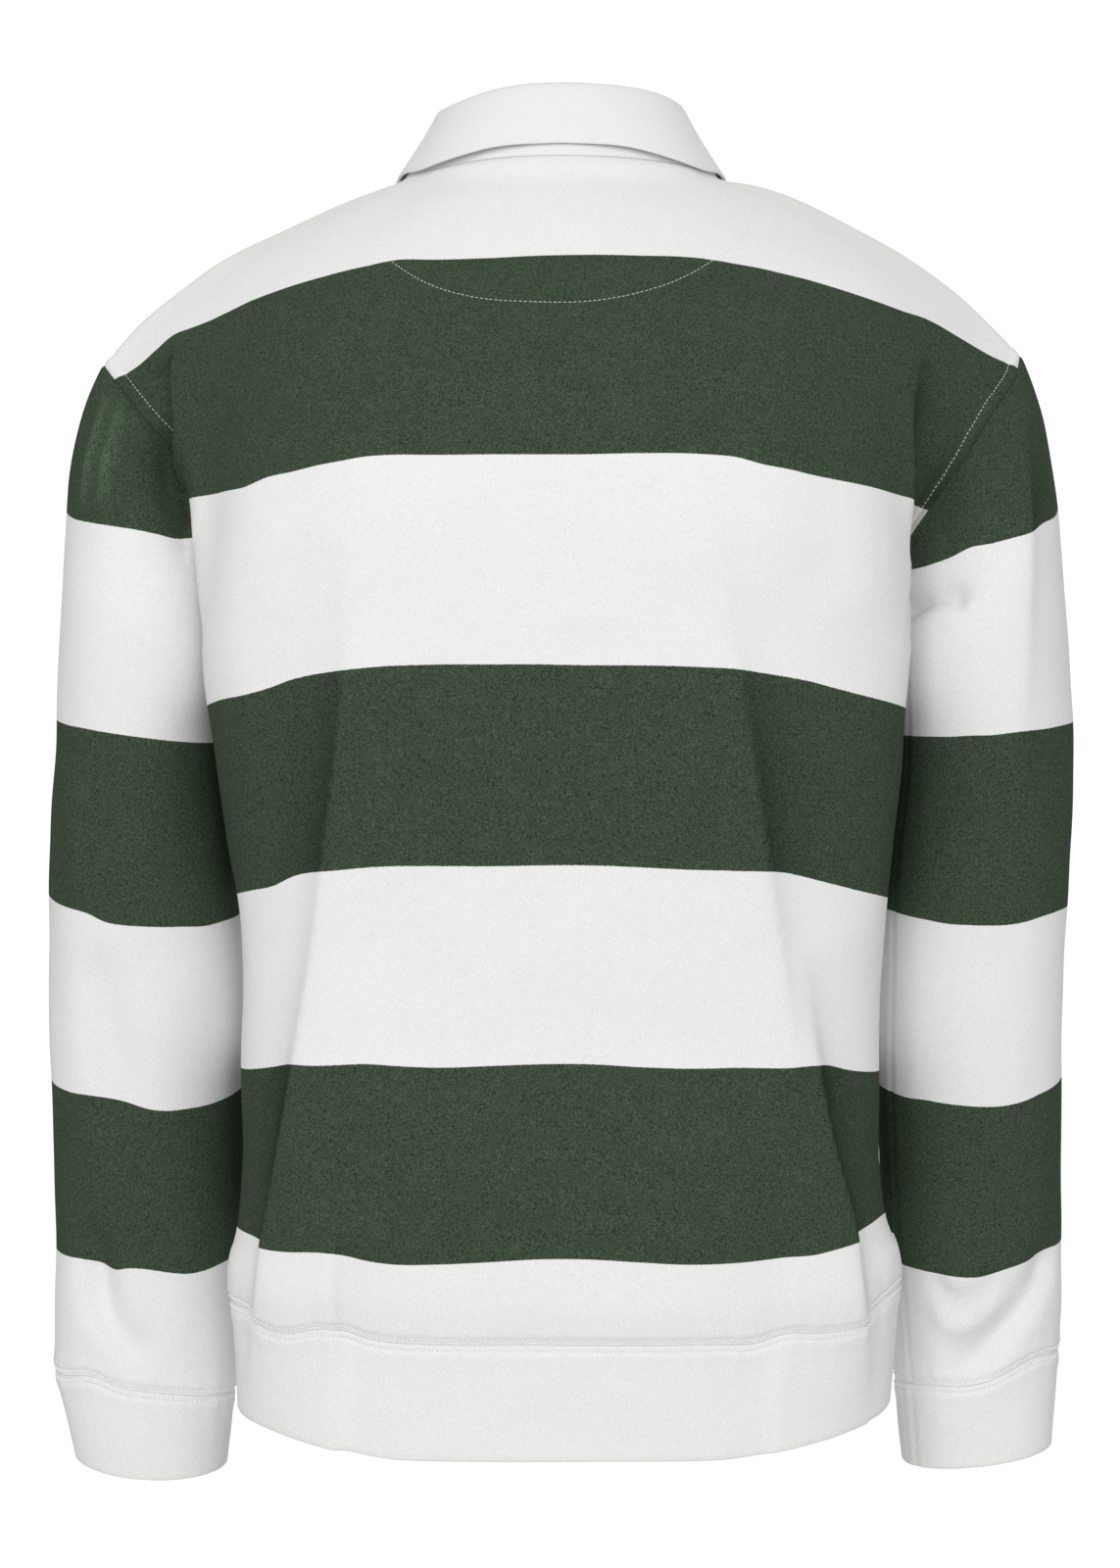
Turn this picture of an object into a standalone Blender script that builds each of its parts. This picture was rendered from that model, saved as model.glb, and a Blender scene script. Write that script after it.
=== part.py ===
"""Rugby shirt, filled out and hollow: striped fleece body and sleeves, white collar, placket and bands.

Metres, +Z up. The wearer faces -Y and the wearer's left arm is at +X. The origin is the middle of the neck's
base at shoulder level, where the wearer carries the shirt. Each cloth piece is a wall with its own thickness,
built on a grid of points: the outer points come from the tables below, the inner ones lie one wall inside.
"""

import math

import bpy
import numpy as np
from mathutils import Vector
from mathutils.bvhtree import BVHTree

# ---- cloth ----
FLEECE_WALL = 0.0018
RIB_WALL = 0.0030
TWILL_WALL = 0.0016
SEAM_GAP = 0.0003

# ---- colours (linear) and finish ----
GREEN = (0.042, 0.072, 0.040)
WHITE = (0.82, 0.82, 0.80)
TWILL_WHITE = (0.84, 0.85, 0.86)
BUTTON_WHITE = (0.86, 0.85, 0.82)
CLOTH_ROUGHNESS = 0.9
BUTTON_ROUGHNESS = 0.35

# ---- mesh density ----
NECK_COLUMNS = 6
SHOULDER_COLUMNS = 8
ARMHOLE_ROWS = 12
CAP_ROWS = 6
RING_ROWS = 2
BAND_ROWS = 2
DENSE = 160


def table(columns, *rows):
    """Rows of numbers under named columns. The first column is the key, in rising order."""
    return dict(zip(columns.split(), np.array(rows, float).T))


# ---- the body: a ring at each height of the centre back ----
HEM_SEAM = -0.6025
ARMPIT = -0.2370
TORSO = table(
    "level  half_left half_right  y_back y_front  y_wide y_seam hollow",
    (HEM_SEAM, 0.1736, 0.1766, 0.124, -0.118, 0.035, 0.012, 0.000),
    (-0.5900, 0.1745, 0.1765, 0.129, -0.122, 0.036, 0.012, 0.000),
    (-0.5593, 0.1690, 0.1695, 0.132, -0.125, 0.040, 0.012, 0.000),
    (-0.4614, 0.1665, 0.1650, 0.130, -0.127, 0.045, 0.010, 0.000),
    (-0.3625, 0.1690, 0.1695, 0.136, -0.131, 0.045, 0.008, 0.001),
    (-0.3125, 0.1765, 0.1755, 0.141, -0.134, 0.045, 0.004, 0.004),
    (-0.2622, 0.1835, 0.1790, 0.145, -0.136, 0.045, 0.000, 0.009),
    (ARMPIT, 0.1860, 0.1815, 0.146, -0.136, 0.045, -0.002, 0.010),
)
SQUARE_BACK = 2.7
SQUARE_FRONT = 2.3
HOLLOW_REACH = 0.035

# How far a level of the cloth rises (or sags, where negative) towards the sides.
RISE = table(
    "level rise",
    (-0.6625, 0.80),
    (HEM_SEAM, 0.50),
    (-0.5593, 0.24),
    (-0.4614, -0.51),
    (-0.3625, -0.75),
    (-0.2622, -0.61),
    (-0.1569, -0.55),
    (-0.0540, -1.05),
    (0.0045, -1.05),
)
RISE_FROM = 0.08
RISE_POWER = 1.6

# Cloth height above the hem seam against level at the centre back, and the stripes cut at even cloth heights.
STRIPE = 0.1016
FIRST_STRIPE = 0.0437
CLOTH = table(
    "level height",
    (-0.6625, -0.0610),
    (HEM_SEAM, 0.0),
    (-0.5593, FIRST_STRIPE),
    (-0.4614, FIRST_STRIPE + STRIPE),
    (-0.3625, FIRST_STRIPE + 2 * STRIPE),
    (-0.2622, FIRST_STRIPE + 3 * STRIPE),
    (-0.1569, FIRST_STRIPE + 4 * STRIPE),
    (-0.0540, FIRST_STRIPE + 5 * STRIPE),
    (0.0045, 0.6260),
)
TORSO_LEVELS = (
    HEM_SEAM, -0.5920, -0.5780, -0.5593, -0.5350, -0.5105, -0.4860, -0.4614, -0.4367,
    -0.4120, -0.3870, -0.3625, -0.3375, -0.3125, -0.2870, -0.2622, ARMPIT,
)  # fmt: skip

# ---- above the armpit: centre lines, neck, shoulders and armholes ----
CENTRE_BACK = table(
    "share y z",
    (0.00, 0.146, ARMPIT),
    (0.30, 0.141, -0.157),
    (0.50, 0.128, -0.106),
    (0.72, 0.100, -0.054),
    (0.87, 0.077, -0.020),
    (1.00, 0.055, 0.0045),
)
CENTRE_FRONT = table(
    "share y z",
    (0.00, -0.136, ARMPIT),
    (0.50, -0.127, -0.155),
    (0.80, -0.110, -0.107),
    (1.00, -0.094, -0.078),
)
NECK_HALF = 0.083
NECK_SIDE_Y = 0.002
NECK_BACK_Y = 0.055
NECK_FRONT_Y = -0.094
NECK_BACK_Z = 0.0045
NECK_SIDE_Z = -0.0010
NECK_FRONT_Z = -0.078
NECK_DIP_BACK = 1.3
NECK_DIP_FRONT = 1.8
TIP_X = 0.2436
SHOULDER = table(
    "x left right",
    (NECK_HALF, NECK_SIDE_Z, NECK_SIDE_Z),
    (0.1000, -0.0062, -0.0030),
    (0.1420, -0.0246, -0.0185),
    (0.1732, -0.0402, -0.0357),
    (0.2044, -0.0610, -0.0575),
    (0.2241, -0.0771, -0.0750),
    (TIP_X, -0.0984, -0.0935),
)
ARMHOLE_LEFT = table(
    "share x z y_back y_front",
    (0.00, 0.1720, -0.2520, -0.002, -0.002),
    (0.15, 0.1755, -0.2290, 0.017, -0.022),
    (0.30, 0.1810, -0.2040, 0.030, -0.036),
    (0.45, 0.1890, -0.1760, 0.038, -0.043),
    (0.60, 0.2005, -0.1505, 0.039, -0.043),
    (0.75, 0.2180, -0.1310, 0.032, -0.036),
    (0.90, 0.2345, -0.1100, 0.015, -0.020),
    (1.00, TIP_X, -0.0984, 0.001, 0.001),
)
ARMHOLE_RIGHT = table(
    "share x z y_back y_front",
    (0.00, 0.1700, -0.2520, -0.002, -0.002),
    (0.15, 0.1740, -0.2280, 0.017, -0.022),
    (0.30, 0.1815, -0.2015, 0.030, -0.036),
    (0.45, 0.1950, -0.1765, 0.038, -0.043),
    (0.60, 0.2108, -0.1520, 0.039, -0.043),
    (0.75, 0.2250, -0.1285, 0.032, -0.036),
    (0.90, 0.2395, -0.1075, 0.015, -0.020),
    (1.00, TIP_X, -0.0935, 0.001, 0.001),
)

# ---- sleeves: a ring at each cloth height above the cuff seam; z is stated at four places round the arm ----
ARMPIT_HEIGHT = 0.430
CAP_HEIGHT = 0.130
SLEEVE_FIRST_STRIPE = 0.0660
SLEEVE_LEFT = table(
    "height  x_out x_in  y_mid deep  z_out z_back z_in z_front",
    (0.0000, 0.2745, 0.1780, -0.055, 0.044, -0.6381, -0.6451, -0.6495, -0.6400),
    (0.0300, 0.2752, 0.1745, -0.053, 0.051, -0.6090, -0.6160, -0.6170, -0.6080),
    (0.0660, 0.2738, 0.1715, -0.050, 0.053, -0.5741, -0.5800, -0.5768, -0.5710),
    (0.1676, 0.2750, 0.1695, -0.042, 0.056, -0.4844, -0.4942, -0.4844, -0.4750),
    (0.2692, 0.2750, 0.1705, -0.030, 0.060, -0.3823, -0.3952, -0.3923, -0.3820),
    (0.3708, 0.2695, 0.1785, -0.018, 0.0635, -0.2868, -0.2980, -0.2980, -0.2870),
    (0.4200, 0.2665, 0.1790, -0.010, 0.062, -0.2350, -0.2460, -0.2640, -0.2400),
)
SLEEVE_RIGHT = table(
    "height  x_out x_in  y_mid deep  z_out z_back z_in z_front",
    (0.0000, 0.2702, 0.1815, -0.055, 0.043, -0.6275, -0.6352, -0.6440, -0.6320),
    (0.0300, 0.2710, 0.1800, -0.053, 0.051, -0.5990, -0.6090, -0.6120, -0.6000),
    (0.0660, 0.2698, 0.1770, -0.050, 0.053, -0.5688, -0.5820, -0.5790, -0.5700),
    (0.1676, 0.2700, 0.1700, -0.042, 0.056, -0.4791, -0.4921, -0.4844, -0.4740),
    (0.2692, 0.2710, 0.1705, -0.030, 0.060, -0.3881, -0.3952, -0.3900, -0.3820),
    (0.3708, 0.2723, 0.1785, -0.018, 0.0635, -0.2873, -0.2959, -0.2950, -0.2870),
    (0.4200, 0.2690, 0.1775, -0.010, 0.062, -0.2350, -0.2460, -0.2640, -0.2400),
)
CUFF_END_LEFT = (0.2650, 0.1815, -0.060, 0.038, -0.6850, -0.6945, -0.6900, -0.6870)
CUFF_END_RIGHT = (0.2668, 0.1855, -0.060, 0.037, -0.6790, -0.6870, -0.6890, -0.6810)
SLEEVE_SQUARE = 2.2

# ---- hem band ----
BAND_END = -0.6625
BAND_HALF_LEFT = 0.1695
BAND_HALF_RIGHT = 0.1720
BAND_BACK_Y = 0.114
BAND_FRONT_Y = -0.110
BAND_WIDE_Y = 0.028
BAND_FOLLOWS = 0.6

# ---- collar ----
STAND_ROWS = 2
FOLD_HALF = 0.0625
FOLD_MID_Y = -0.004
FOLD_BACK_Y = 0.046
FOLD_FRONT_Y = -0.083
FOLD_BACK_Z = 0.0394
FOLD_SIDE_Z = 0.0330
FOLD_FRONT_Z = -0.050
FOLD_DIP = 1.8
COLLAR_OPENING = 0.0012
FALL_ROWS = 5
FALL_EDGE = table(
    "turn x y z",
    (0.00, 0.0000, 0.066, 0.0105),
    (0.15, 0.0340, 0.064, 0.0090),
    (0.28, 0.0593, 0.053, 0.0050),
    (0.38, 0.0745, 0.037, 0.0040),
    (0.50, 0.0870, 0.004, 0.0035),
    (0.62, 0.0905, -0.037, -0.0150),
    (0.75, 0.0860, -0.072, -0.0480),
    (0.88, 0.0720, -0.098, -0.0780),
    (1.00, 0.0520, -0.114, -0.0980),
)
FALL_LIFT = 0.0058
NEAR_CLOTH = 0.012
CROWN = ((-0.0014, 0.0034), (0.0010, 0.0042), (0.0044, 0.0006))  # outward and up from the fold, row by row

# ---- placket and buttons ----
SLIT_HALF = 0.0120
SLIT_ROW = len(TORSO_LEVELS) - 1
PLACKET_PAST_SLIT = 0.6
PLACKET_OVER_HALF = 0.0165
PLACKET_UNDER_HALF = 0.0140
PLACKET_BELOW_NECK = 0.0012
BUTTON_LEVELS = (-0.101, -0.152, -0.203)
BUTTON_RADIUS = 0.0072
BUTTON_THICKNESS = 0.0032
BUTTON_SIDES = 24
BUTTON_STANDS_OFF = 0.0012

# ---- the largest folds: a ridge (+) or trough (-) along a curved line, seen from behind or in front ----
FOLDS_BACK = table(
    "x_low x_mid x_top  z_low z_top  width height",
    (0.157, 0.124, 0.104, -0.680, -0.170, 0.013, 0.0035),
    (0.172, 0.143, 0.124, -0.690, -0.200, 0.015, -0.0060),
    (-0.154, -0.114, -0.072, -0.680, -0.160, 0.014, 0.0035),
    (-0.170, -0.134, -0.094, -0.690, -0.190, 0.016, -0.0060),
)
FOLDS_FRONT = table(
    "x_low x_mid x_top  z_low z_top  width height",
    (0.150, 0.118, 0.112, -0.690, -0.190, 0.014, 0.0035),
    (0.164, 0.135, 0.130, -0.690, -0.200, 0.015, -0.0050),
    (-0.148, -0.112, -0.096, -0.690, -0.180, 0.014, 0.0035),
    (-0.162, -0.130, -0.114, -0.690, -0.190, 0.015, -0.0050),
)


# ---- curves ----
def hermite(start, end, start_slope, end_slope, share):
    square, cube = share**2, share**3
    return (
        (2 * cube - 3 * square + 1) * start
        + (3 * square - 2 * cube) * end
        + (cube - 2 * square + share) * start_slope
        + (cube - square) * end_slope
    )


def read(rows, column, at):
    """A column's value where the table's key reads `at`, on a smooth curve through the rows."""
    keys, values = next(iter(rows.values())), rows[column]
    at = np.clip(at, keys[0], keys[-1])
    slopes = np.gradient(values, keys)
    i = np.clip(np.searchsorted(keys, at, side="right") - 1, 0, len(keys) - 2)
    span = keys[i + 1] - keys[i]
    share = (at - keys[i]) / span
    return hermite(values[i], values[i + 1], slopes[i] * span, slopes[i + 1] * span, share)


def spread(line, count, first=0.0):
    """count + 1 points evenly along a dense line. With `first`, the second point lies that far along it."""
    steps = np.linalg.norm(np.diff(line, axis=0), axis=1)
    along = np.concatenate([[0.0], np.cumsum(steps)])
    places = np.linspace(0, along[-1], count + 1)
    if first:
        places = np.concatenate([[0.0], np.linspace(first, along[-1], count)])
    return np.stack([np.interp(places, along, line[:, k]) for k in range(3)], axis=1)


def unit(vector):
    return vector / np.linalg.norm(vector)


def rise(level, x):
    return read(RISE, "rise", level) * np.maximum(0, np.abs(x) - RISE_FROM) ** RISE_POWER


def body_heights(points):
    """Each point's cloth height above the hem seam."""
    x, z = points[..., 0], points[..., 2]
    return read(CLOTH, "height", z - rise(z, x))


def on_stripe_edges(points, heights, first_edge):
    """Slide points along their columns until every column has a point on each stripe's edge."""
    points, heights = points.copy(), heights.copy()
    last = len(points) - 1
    for edge in first_edge + STRIPE * np.arange(6):
        over = heights - edge
        for r, c in np.argwhere(over[:-1] * over[1:] < 0):
            share = over[r, c] / (over[r, c] - over[r + 1, c])
            near = r if share < 0.5 else r + 1
            if 0 < near < last:
                points[near, c] = (1 - share) * points[r, c] + share * points[r + 1, c]
                heights[near, c] = edge
    return points, heights


def striped_faces(quads, heights, first_edge):
    """Quads that a stripe's edge crosses become two triangles along it. Each face's kind: 1 is green."""
    faces, kinds = [], []
    for quad in quads:
        stripe = (heights[list(quad)] - first_edge) / STRIPE
        near = np.round(stripe)
        level = [abs(s - n) < 1e-6 for s, n in zip(stripe, near)]
        parts = [quad]
        if level[0] and level[2] and near[0] == near[2]:
            parts = [(quad[0], quad[1], quad[2]), (quad[0], quad[2], quad[3])]
        elif level[1] and level[3] and near[1] == near[3]:
            parts = [(quad[0], quad[1], quad[3]), (quad[1], quad[2], quad[3])]
        for part in parts:
            middle = (heights[list(part)].mean() - first_edge) / STRIPE
            faces.append(part)
            kinds.append(int(middle > 0 and middle % 2 < 1))
    return faces, kinds


# ---- body ----
def ring_quarter(half, back, front, wide_y, seam_y, face):
    """x and y of half a body ring, from the centre to the side seam, on the back or the front."""
    forward = (wide_y - seam_y) / front
    seam_turn = math.pi / 2 + math.asin(forward ** (SQUARE_FRONT / 2))
    turn = np.linspace(0 if face == "back" else math.pi, seam_turn, DENSE)
    behind = turn < math.pi / 2
    power = np.where(behind, 2 / SQUARE_BACK, 2 / SQUARE_FRONT)
    depth = np.where(behind, back, -front)
    x = half * np.abs(np.sin(turn)) ** power
    y = wide_y + depth * np.abs(np.cos(turn)) ** power
    return x, y


def torso_row(level, face, side, columns, first):
    wide_y = read(TORSO, "y_wide", level)
    seam_y = read(TORSO, "y_seam", level)
    x, y = ring_quarter(
        read(TORSO, "half_left" if side > 0 else "half_right", level),
        read(TORSO, "y_back", level) - wide_y,
        wide_y - read(TORSO, "y_front", level),
        wide_y,
        seam_y,
        face,
    )
    x = x - read(TORSO, "hollow", level) * np.exp(-(((y - seam_y) / HOLLOW_REACH) ** 2)) * (x > 0.1)
    line = np.stack([x, y, level + rise(level, x)], axis=1)
    return spread(line, columns, first)


def neckline(face):
    turn = np.linspace(0, math.pi / 2, DENSE)
    end_y, end_z, dip = NECK_FRONT_Y, NECK_FRONT_Z, NECK_DIP_FRONT
    if face == "back":
        end_y, end_z, dip = NECK_BACK_Y, NECK_BACK_Z, NECK_DIP_BACK
    y = NECK_SIDE_Y + (end_y - NECK_SIDE_Y) * np.cos(turn)
    z = NECK_SIDE_Z + (end_z - NECK_SIDE_Z) * np.cos(turn) ** dip
    return np.stack([NECK_HALF * np.sin(turn), y, z], axis=1)


def top_row(face, side, first):
    x = np.linspace(NECK_HALF, TIP_X, DENSE)
    y = np.linspace(NECK_SIDE_Y, 0.001, DENSE)
    shoulder = np.stack([x, y, read(SHOULDER, "left" if side > 0 else "right", x)], axis=1)
    return np.concatenate(
        [spread(neckline(face), NECK_COLUMNS, first), spread(shoulder, SHOULDER_COLUMNS)[1:]]
    )


def armhole_edge(side, face, start):
    rows = ARMHOLE_LEFT if side > 0 else ARMHOLE_RIGHT
    share = np.linspace(0, 1, DENSE)
    line = np.stack([read(rows, c, share) for c in ("x", "y_" + face, "z")], axis=1)
    line += (start - line[0]) * ((1 - share) ** 2)[:, None]
    return spread(line, ARMHOLE_ROWS)


def centre_line(face):
    rows = CENTRE_BACK if face == "back" else CENTRE_FRONT
    share = np.linspace(0, 1, DENSE)
    line = np.stack([0 * share, read(rows, "y", share), read(rows, "z", share)], axis=1)
    return spread(line, ARMHOLE_ROWS)


def patch(low, top, centre, edge):
    """The surface between four lines: it leaves the low row upright and meets the shoulder line level."""
    up = np.linspace(0, math.pi / 2, len(centre))
    share = np.stack([up / (math.pi / 2), 1 - np.cos(up), np.sin(up)], axis=1)[:, None, :]
    across = np.linspace(0, 1, len(low))[None, :, None]
    between = (1 - share) * low[None] + share * top[None]
    centre_bulge = centre[:, None] - (1 - share) * centre[0] - share * centre[-1]
    edge_bulge = edge[:, None] - (1 - share) * edge[0] - share * edge[-1]
    near_centre = (1 - across) ** (1 + 3 * share[..., :1] ** 2)
    return between + near_centre * centre_bulge + across * edge_bulge


def body_half(face, side):
    """Rows from the hem seam to the shoulder, columns from the centre to the side. x is never negative."""
    first = SLIT_HALF if face == "front" else 0.0
    columns = NECK_COLUMNS + SHOULDER_COLUMNS
    low = np.stack([torso_row(level, face, side, columns, first) for level in TORSO_LEVELS])
    edge = armhole_edge(side, face, low[-1, -1])
    top = top_row(face, side, first)
    high = patch(low[-1], top, centre_line(face), edge)
    return np.concatenate([low, high[1:]])


def grid_normals(points):
    along = np.gradient(points, axis=1)
    up = np.gradient(points, axis=0)
    normal = np.cross(along, up)
    return normal / np.linalg.norm(normal, axis=2, keepdims=True)


def fold_height(folds, x, z):
    """The sum of the folds at a place, in metres out of the cloth."""
    total = np.zeros_like(x)
    for i in range(len(folds["height"])):
        fold = {name: column[i] for name, column in folds.items()}
        share = (z - fold["z_low"]) / (fold["z_top"] - fold["z_low"])
        low, mid, top = fold["x_low"], fold["x_mid"], fold["x_top"]
        inside = np.clip(share, 0, 1)
        line = low + (4 * mid - 3 * low - top) * inside + 2 * (low + top - 2 * mid) * inside**2
        strength = np.sin(math.pi * inside) ** 0.6
        total += fold["height"] * strength * np.exp(-(((x - line) / fold["width"]) ** 2))
    return total


def body_panel(face):
    """The whole back or front, columns from -X to +X, with its folds. They die out at the panel's sides."""
    left, right = body_half(face, 1), body_half(face, -1)
    right = right[:, ::-1] * np.array([-1, 1, 1])
    points = np.concatenate([right, left[:, 1:]], axis=1)
    outward = grid_normals(points) * (-1 if face == "back" else 1)
    across = np.abs(np.linspace(-1, 1, points.shape[1]))
    rows_up = np.linspace(0, 1, points.shape[0])[:, None]
    fade = (1 - across**8)[None, :] * (1 - rows_up**8)
    folds = FOLDS_BACK if face == "back" else FOLDS_FRONT
    height = fold_height(folds, points[..., 0], points[..., 2]) * fade
    points = points + outward * height[..., None]
    return on_stripe_edges(points, body_heights(points), FIRST_STRIPE)


# ---- sleeves ----
def arm_ring(place, side, count):
    """2 * count points round the arm: outer side, back, underarm, front."""
    x_out, x_in, y_mid, deep, z_out, z_back, z_in, z_front = place
    turn = np.linspace(0, 2 * math.pi, 2 * DENSE + 1)
    cos, sin = np.cos(turn), np.sin(turn)
    power = 2 / SLEEVE_SQUARE
    x = (x_out + x_in) / 2 + (x_out - x_in) / 2 * np.sign(cos) * np.abs(cos) ** power
    y = y_mid + deep * np.sign(sin) * np.abs(sin) ** power
    z = (
        (z_out + z_back + z_in + z_front) / 4
        + (z_out - z_in) / 2 * cos
        + (z_back - z_front) / 2 * sin
        + (z_out + z_in - z_back - z_front) / 4 * np.cos(2 * turn)
    )
    line = np.stack([side * x, y, z], axis=1)
    return np.concatenate([spread(line[: DENSE + 1], count)[:-1], spread(line[DENSE:], count)[:-1]])


def rows_between(high, low):
    count = RING_ROWS if high - low < 0.06 else 2 * RING_ROWS
    return np.linspace(high, low, count + 1)[1:]


def sleeve_grid(side, back, front):
    """Rows from the armhole to the cuff seam. The armhole's points are the panels' own."""
    edge = -1 if side > 0 else 0
    back_edge = back[-ARMHOLE_ROWS - 1 :, edge]
    front_edge = front[-ARMHOLE_ROWS - 1 :, edge]
    armhole = np.concatenate([back_edge[::-1], front_edge[1:-1]])
    rows = SLEEVE_LEFT if side > 0 else SLEEVE_RIGHT
    columns = list(rows)[1:]

    def ring(height):
        return arm_ring([read(rows, c, height) for c in columns], side, ARMHOLE_ROWS)

    heights = rows["height"][::-1]
    first, second = ring(heights[0]), ring(heights[1])
    turn = np.linspace(0, 2 * math.pi, len(armhole), endpoint=False)
    outward = 0.10 + 0.16 * (1 + np.cos(turn)) + 0.30 * np.sin(turn) ** 2
    start = np.stack([side * outward, 0.30 * np.sin(turn), np.full_like(turn, -0.85)], axis=1)
    start /= np.linalg.norm(start, axis=1, keepdims=True)
    end = second - first
    end /= np.linalg.norm(end, axis=1, keepdims=True)
    reach = np.linalg.norm(first - armhole, axis=1, keepdims=True)
    grid = [
        hermite(armhole, first, start * reach, end * reach, share)
        for share in np.linspace(0, 1, CAP_ROWS + 1)
    ]
    for high, low in zip(heights[:-1], heights[1:]):
        grid += [ring(height) for height in rows_between(high, low)]
    return on_stripe_edges(np.array(grid), sleeve_heights(len(armhole), rows["height"]), SLEEVE_FIRST_STRIPE)


def sleeve_heights(count, rings):
    """Each grid point's cloth height above the cuff seam."""
    turn = np.linspace(0, 2 * math.pi, count, endpoint=False)
    top = ARMPIT_HEIGHT + CAP_HEIGHT * (1 + np.cos(turn)) / 2
    keys = rings[::-1]
    heights = [top + (keys[0] - top) * share for share in np.linspace(0, 1, CAP_ROWS + 1)]
    for high, low in zip(keys[:-1], keys[1:]):
        heights += [np.full(count, height) for height in rows_between(high, low)]
    return np.array(heights)


def cuff_grid(side, sleeve):
    end = arm_ring(CUFF_END_LEFT if side > 0 else CUFF_END_RIGHT, side, ARMHOLE_ROWS)
    shares = np.linspace(0, 1, BAND_ROWS + 1)[:, None, None]
    return (1 - shares) * sleeve[-1][None] + shares * end[None]


# ---- hem band ----
def body_hem(back, front):
    """The hem seam's points: along the back from -X to +X, then along the front to -X again."""
    return np.concatenate([back[0], front[0, ::-1][1:-1]])


def band_ring(columns):
    quarters = {}
    for side, half in ((1, BAND_HALF_LEFT), (-1, BAND_HALF_RIGHT)):
        for face, first in (("back", 0.0), ("front", SLIT_HALF)):
            x, y = ring_quarter(
                half, BAND_BACK_Y - BAND_WIDE_Y, BAND_WIDE_Y - BAND_FRONT_Y, BAND_WIDE_Y, 0.012, face
            )
            line = np.stack([side * x, y, BAND_END + rise(BAND_END, x)], axis=1)
            quarters[side, face] = spread(line, columns, first)
    back = np.concatenate([quarters[-1, "back"][::-1], quarters[1, "back"][1:]])
    front = np.concatenate([quarters[1, "front"][::-1], quarters[-1, "front"][1:]])
    return np.concatenate([back, front[1:-1]])


def hem_band_grid(back, front, plain_hem):
    """The band hangs from the hem seam's own points and follows their folds, less towards its end."""
    seam = body_hem(back, front)
    end = band_ring(NECK_COLUMNS + SHOULDER_COLUMNS) + BAND_FOLLOWS * (seam - plain_hem)
    shares = np.linspace(0, 1, BAND_ROWS + 1)[:, None, None]
    return (1 - shares) * seam[None] + shares * end[None]


# ---- collar ----
def neck_loop(back, front):
    """The neckline's points from the front centre by the left and the back to the right, and each one's turn.

    The turn is 0 at the back, half a circle at the front, and negative on the right.
    """
    middle = back.shape[1] // 2
    columns = NECK_COLUMNS
    left = np.concatenate(
        [front[-1, middle : middle + columns], back[-1, middle + 1 : middle + columns + 1][::-1]]
    )
    right = np.concatenate(
        [back[-1, middle - columns : middle][::-1], front[-1, middle - columns + 1 : middle + 1]]
    )
    loop = np.concatenate([left, back[-1, middle : middle + 1], right])
    loop[0, 0] += COLLAR_OPENING / 2
    loop[-1, 0] -= COLLAR_OPENING / 2
    reach = loop[:, 1] - NECK_SIDE_Y
    depth = np.where(reach > 0, NECK_BACK_Y - NECK_SIDE_Y, NECK_SIDE_Y - NECK_FRONT_Y)
    return loop, np.arctan2(loop[:, 0] / NECK_HALF, reach / depth)


def fold_line(turn):
    """The collar's fold, above the neckline. Its two ends stay apart at the front."""
    cos = np.cos(turn)
    x = FOLD_HALF * np.sin(turn) + np.sign(turn) * COLLAR_OPENING / 2 * (np.abs(turn) > 3)
    y = np.where(cos > 0, FOLD_BACK_Y - FOLD_MID_Y, FOLD_MID_Y - FOLD_FRONT_Y) * cos + FOLD_MID_Y
    drop = np.where(cos > 0, FOLD_BACK_Z - FOLD_SIDE_Z, FOLD_FRONT_Z - FOLD_SIDE_Z)
    z = FOLD_SIDE_Z + drop * np.abs(cos) ** FOLD_DIP
    return np.stack([x, y, z], axis=1)


def stand_grid(loop, turn):
    fold = fold_line(turn)
    shares = np.linspace(0, 1, STAND_ROWS + 1)[:, None, None]
    return (1 - shares) * loop[None] + shares * fold[None]


def fall_grid(tree, stand_turn):
    """Rows from the fold's crown down to the outer edge, which lies on the shoulders and the chest."""
    places = np.arange(len(stand_turn))
    turn = np.interp(np.linspace(0, places[-1], 2 * places[-1] + 1), places, stand_turn)
    fold = fold_line(turn)
    edge = np.stack([read(FALL_EDGE, name, np.abs(turn) / turn[0]) for name in "xyz"], axis=1)
    edge[:, 0] *= np.sign(turn)
    outward = (fold - (0, FOLD_MID_Y, 0)) * (1, 1, 0)
    outward /= np.linalg.norm(outward, axis=1, keepdims=True)
    up = np.array([0, 0, 1])
    rows = [fold + outward * out + up * lift for out, lift in CROWN]
    slope = edge - rows[-1]
    leave = (outward * 0.45 - up * 0.9) * np.linalg.norm(slope, axis=1, keepdims=True)
    rows += [hermite(rows[2], edge, leave, slope, s) for s in np.linspace(0, 1, FALL_ROWS + 1)[1:]]
    return clear_of(tree, clear_of(tree, np.array(rows), FALL_LIFT), FALL_LIFT)


# ---- placket and buttons ----
def body_tree(back, front):
    """The body's outer faces, for placing what lies on them."""
    rows, columns = back.shape[:2]
    faces = grid_quads(rows, columns, flip=True)
    faces += [tuple(i + rows * columns for i in quad) for quad in grid_quads(rows, columns)]
    points = np.concatenate([back.reshape(-1, 3), front.reshape(-1, 3)])
    return BVHTree.FromPolygons([Vector(p) for p in points], faces)


def clear_of(tree, grid, lift):
    """Points that lie nearer to the body's cloth than the lift, or just inside it, move out to the lift."""
    result = grid.copy()
    for index in np.ndindex(grid.shape[:2]):
        place, normal, _, distance = tree.find_nearest(Vector(grid[index]))
        if distance < NEAR_CLOTH and (Vector(grid[index]) - place).dot(normal) < lift:
            result[index] = place + normal * lift
    return result


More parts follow.
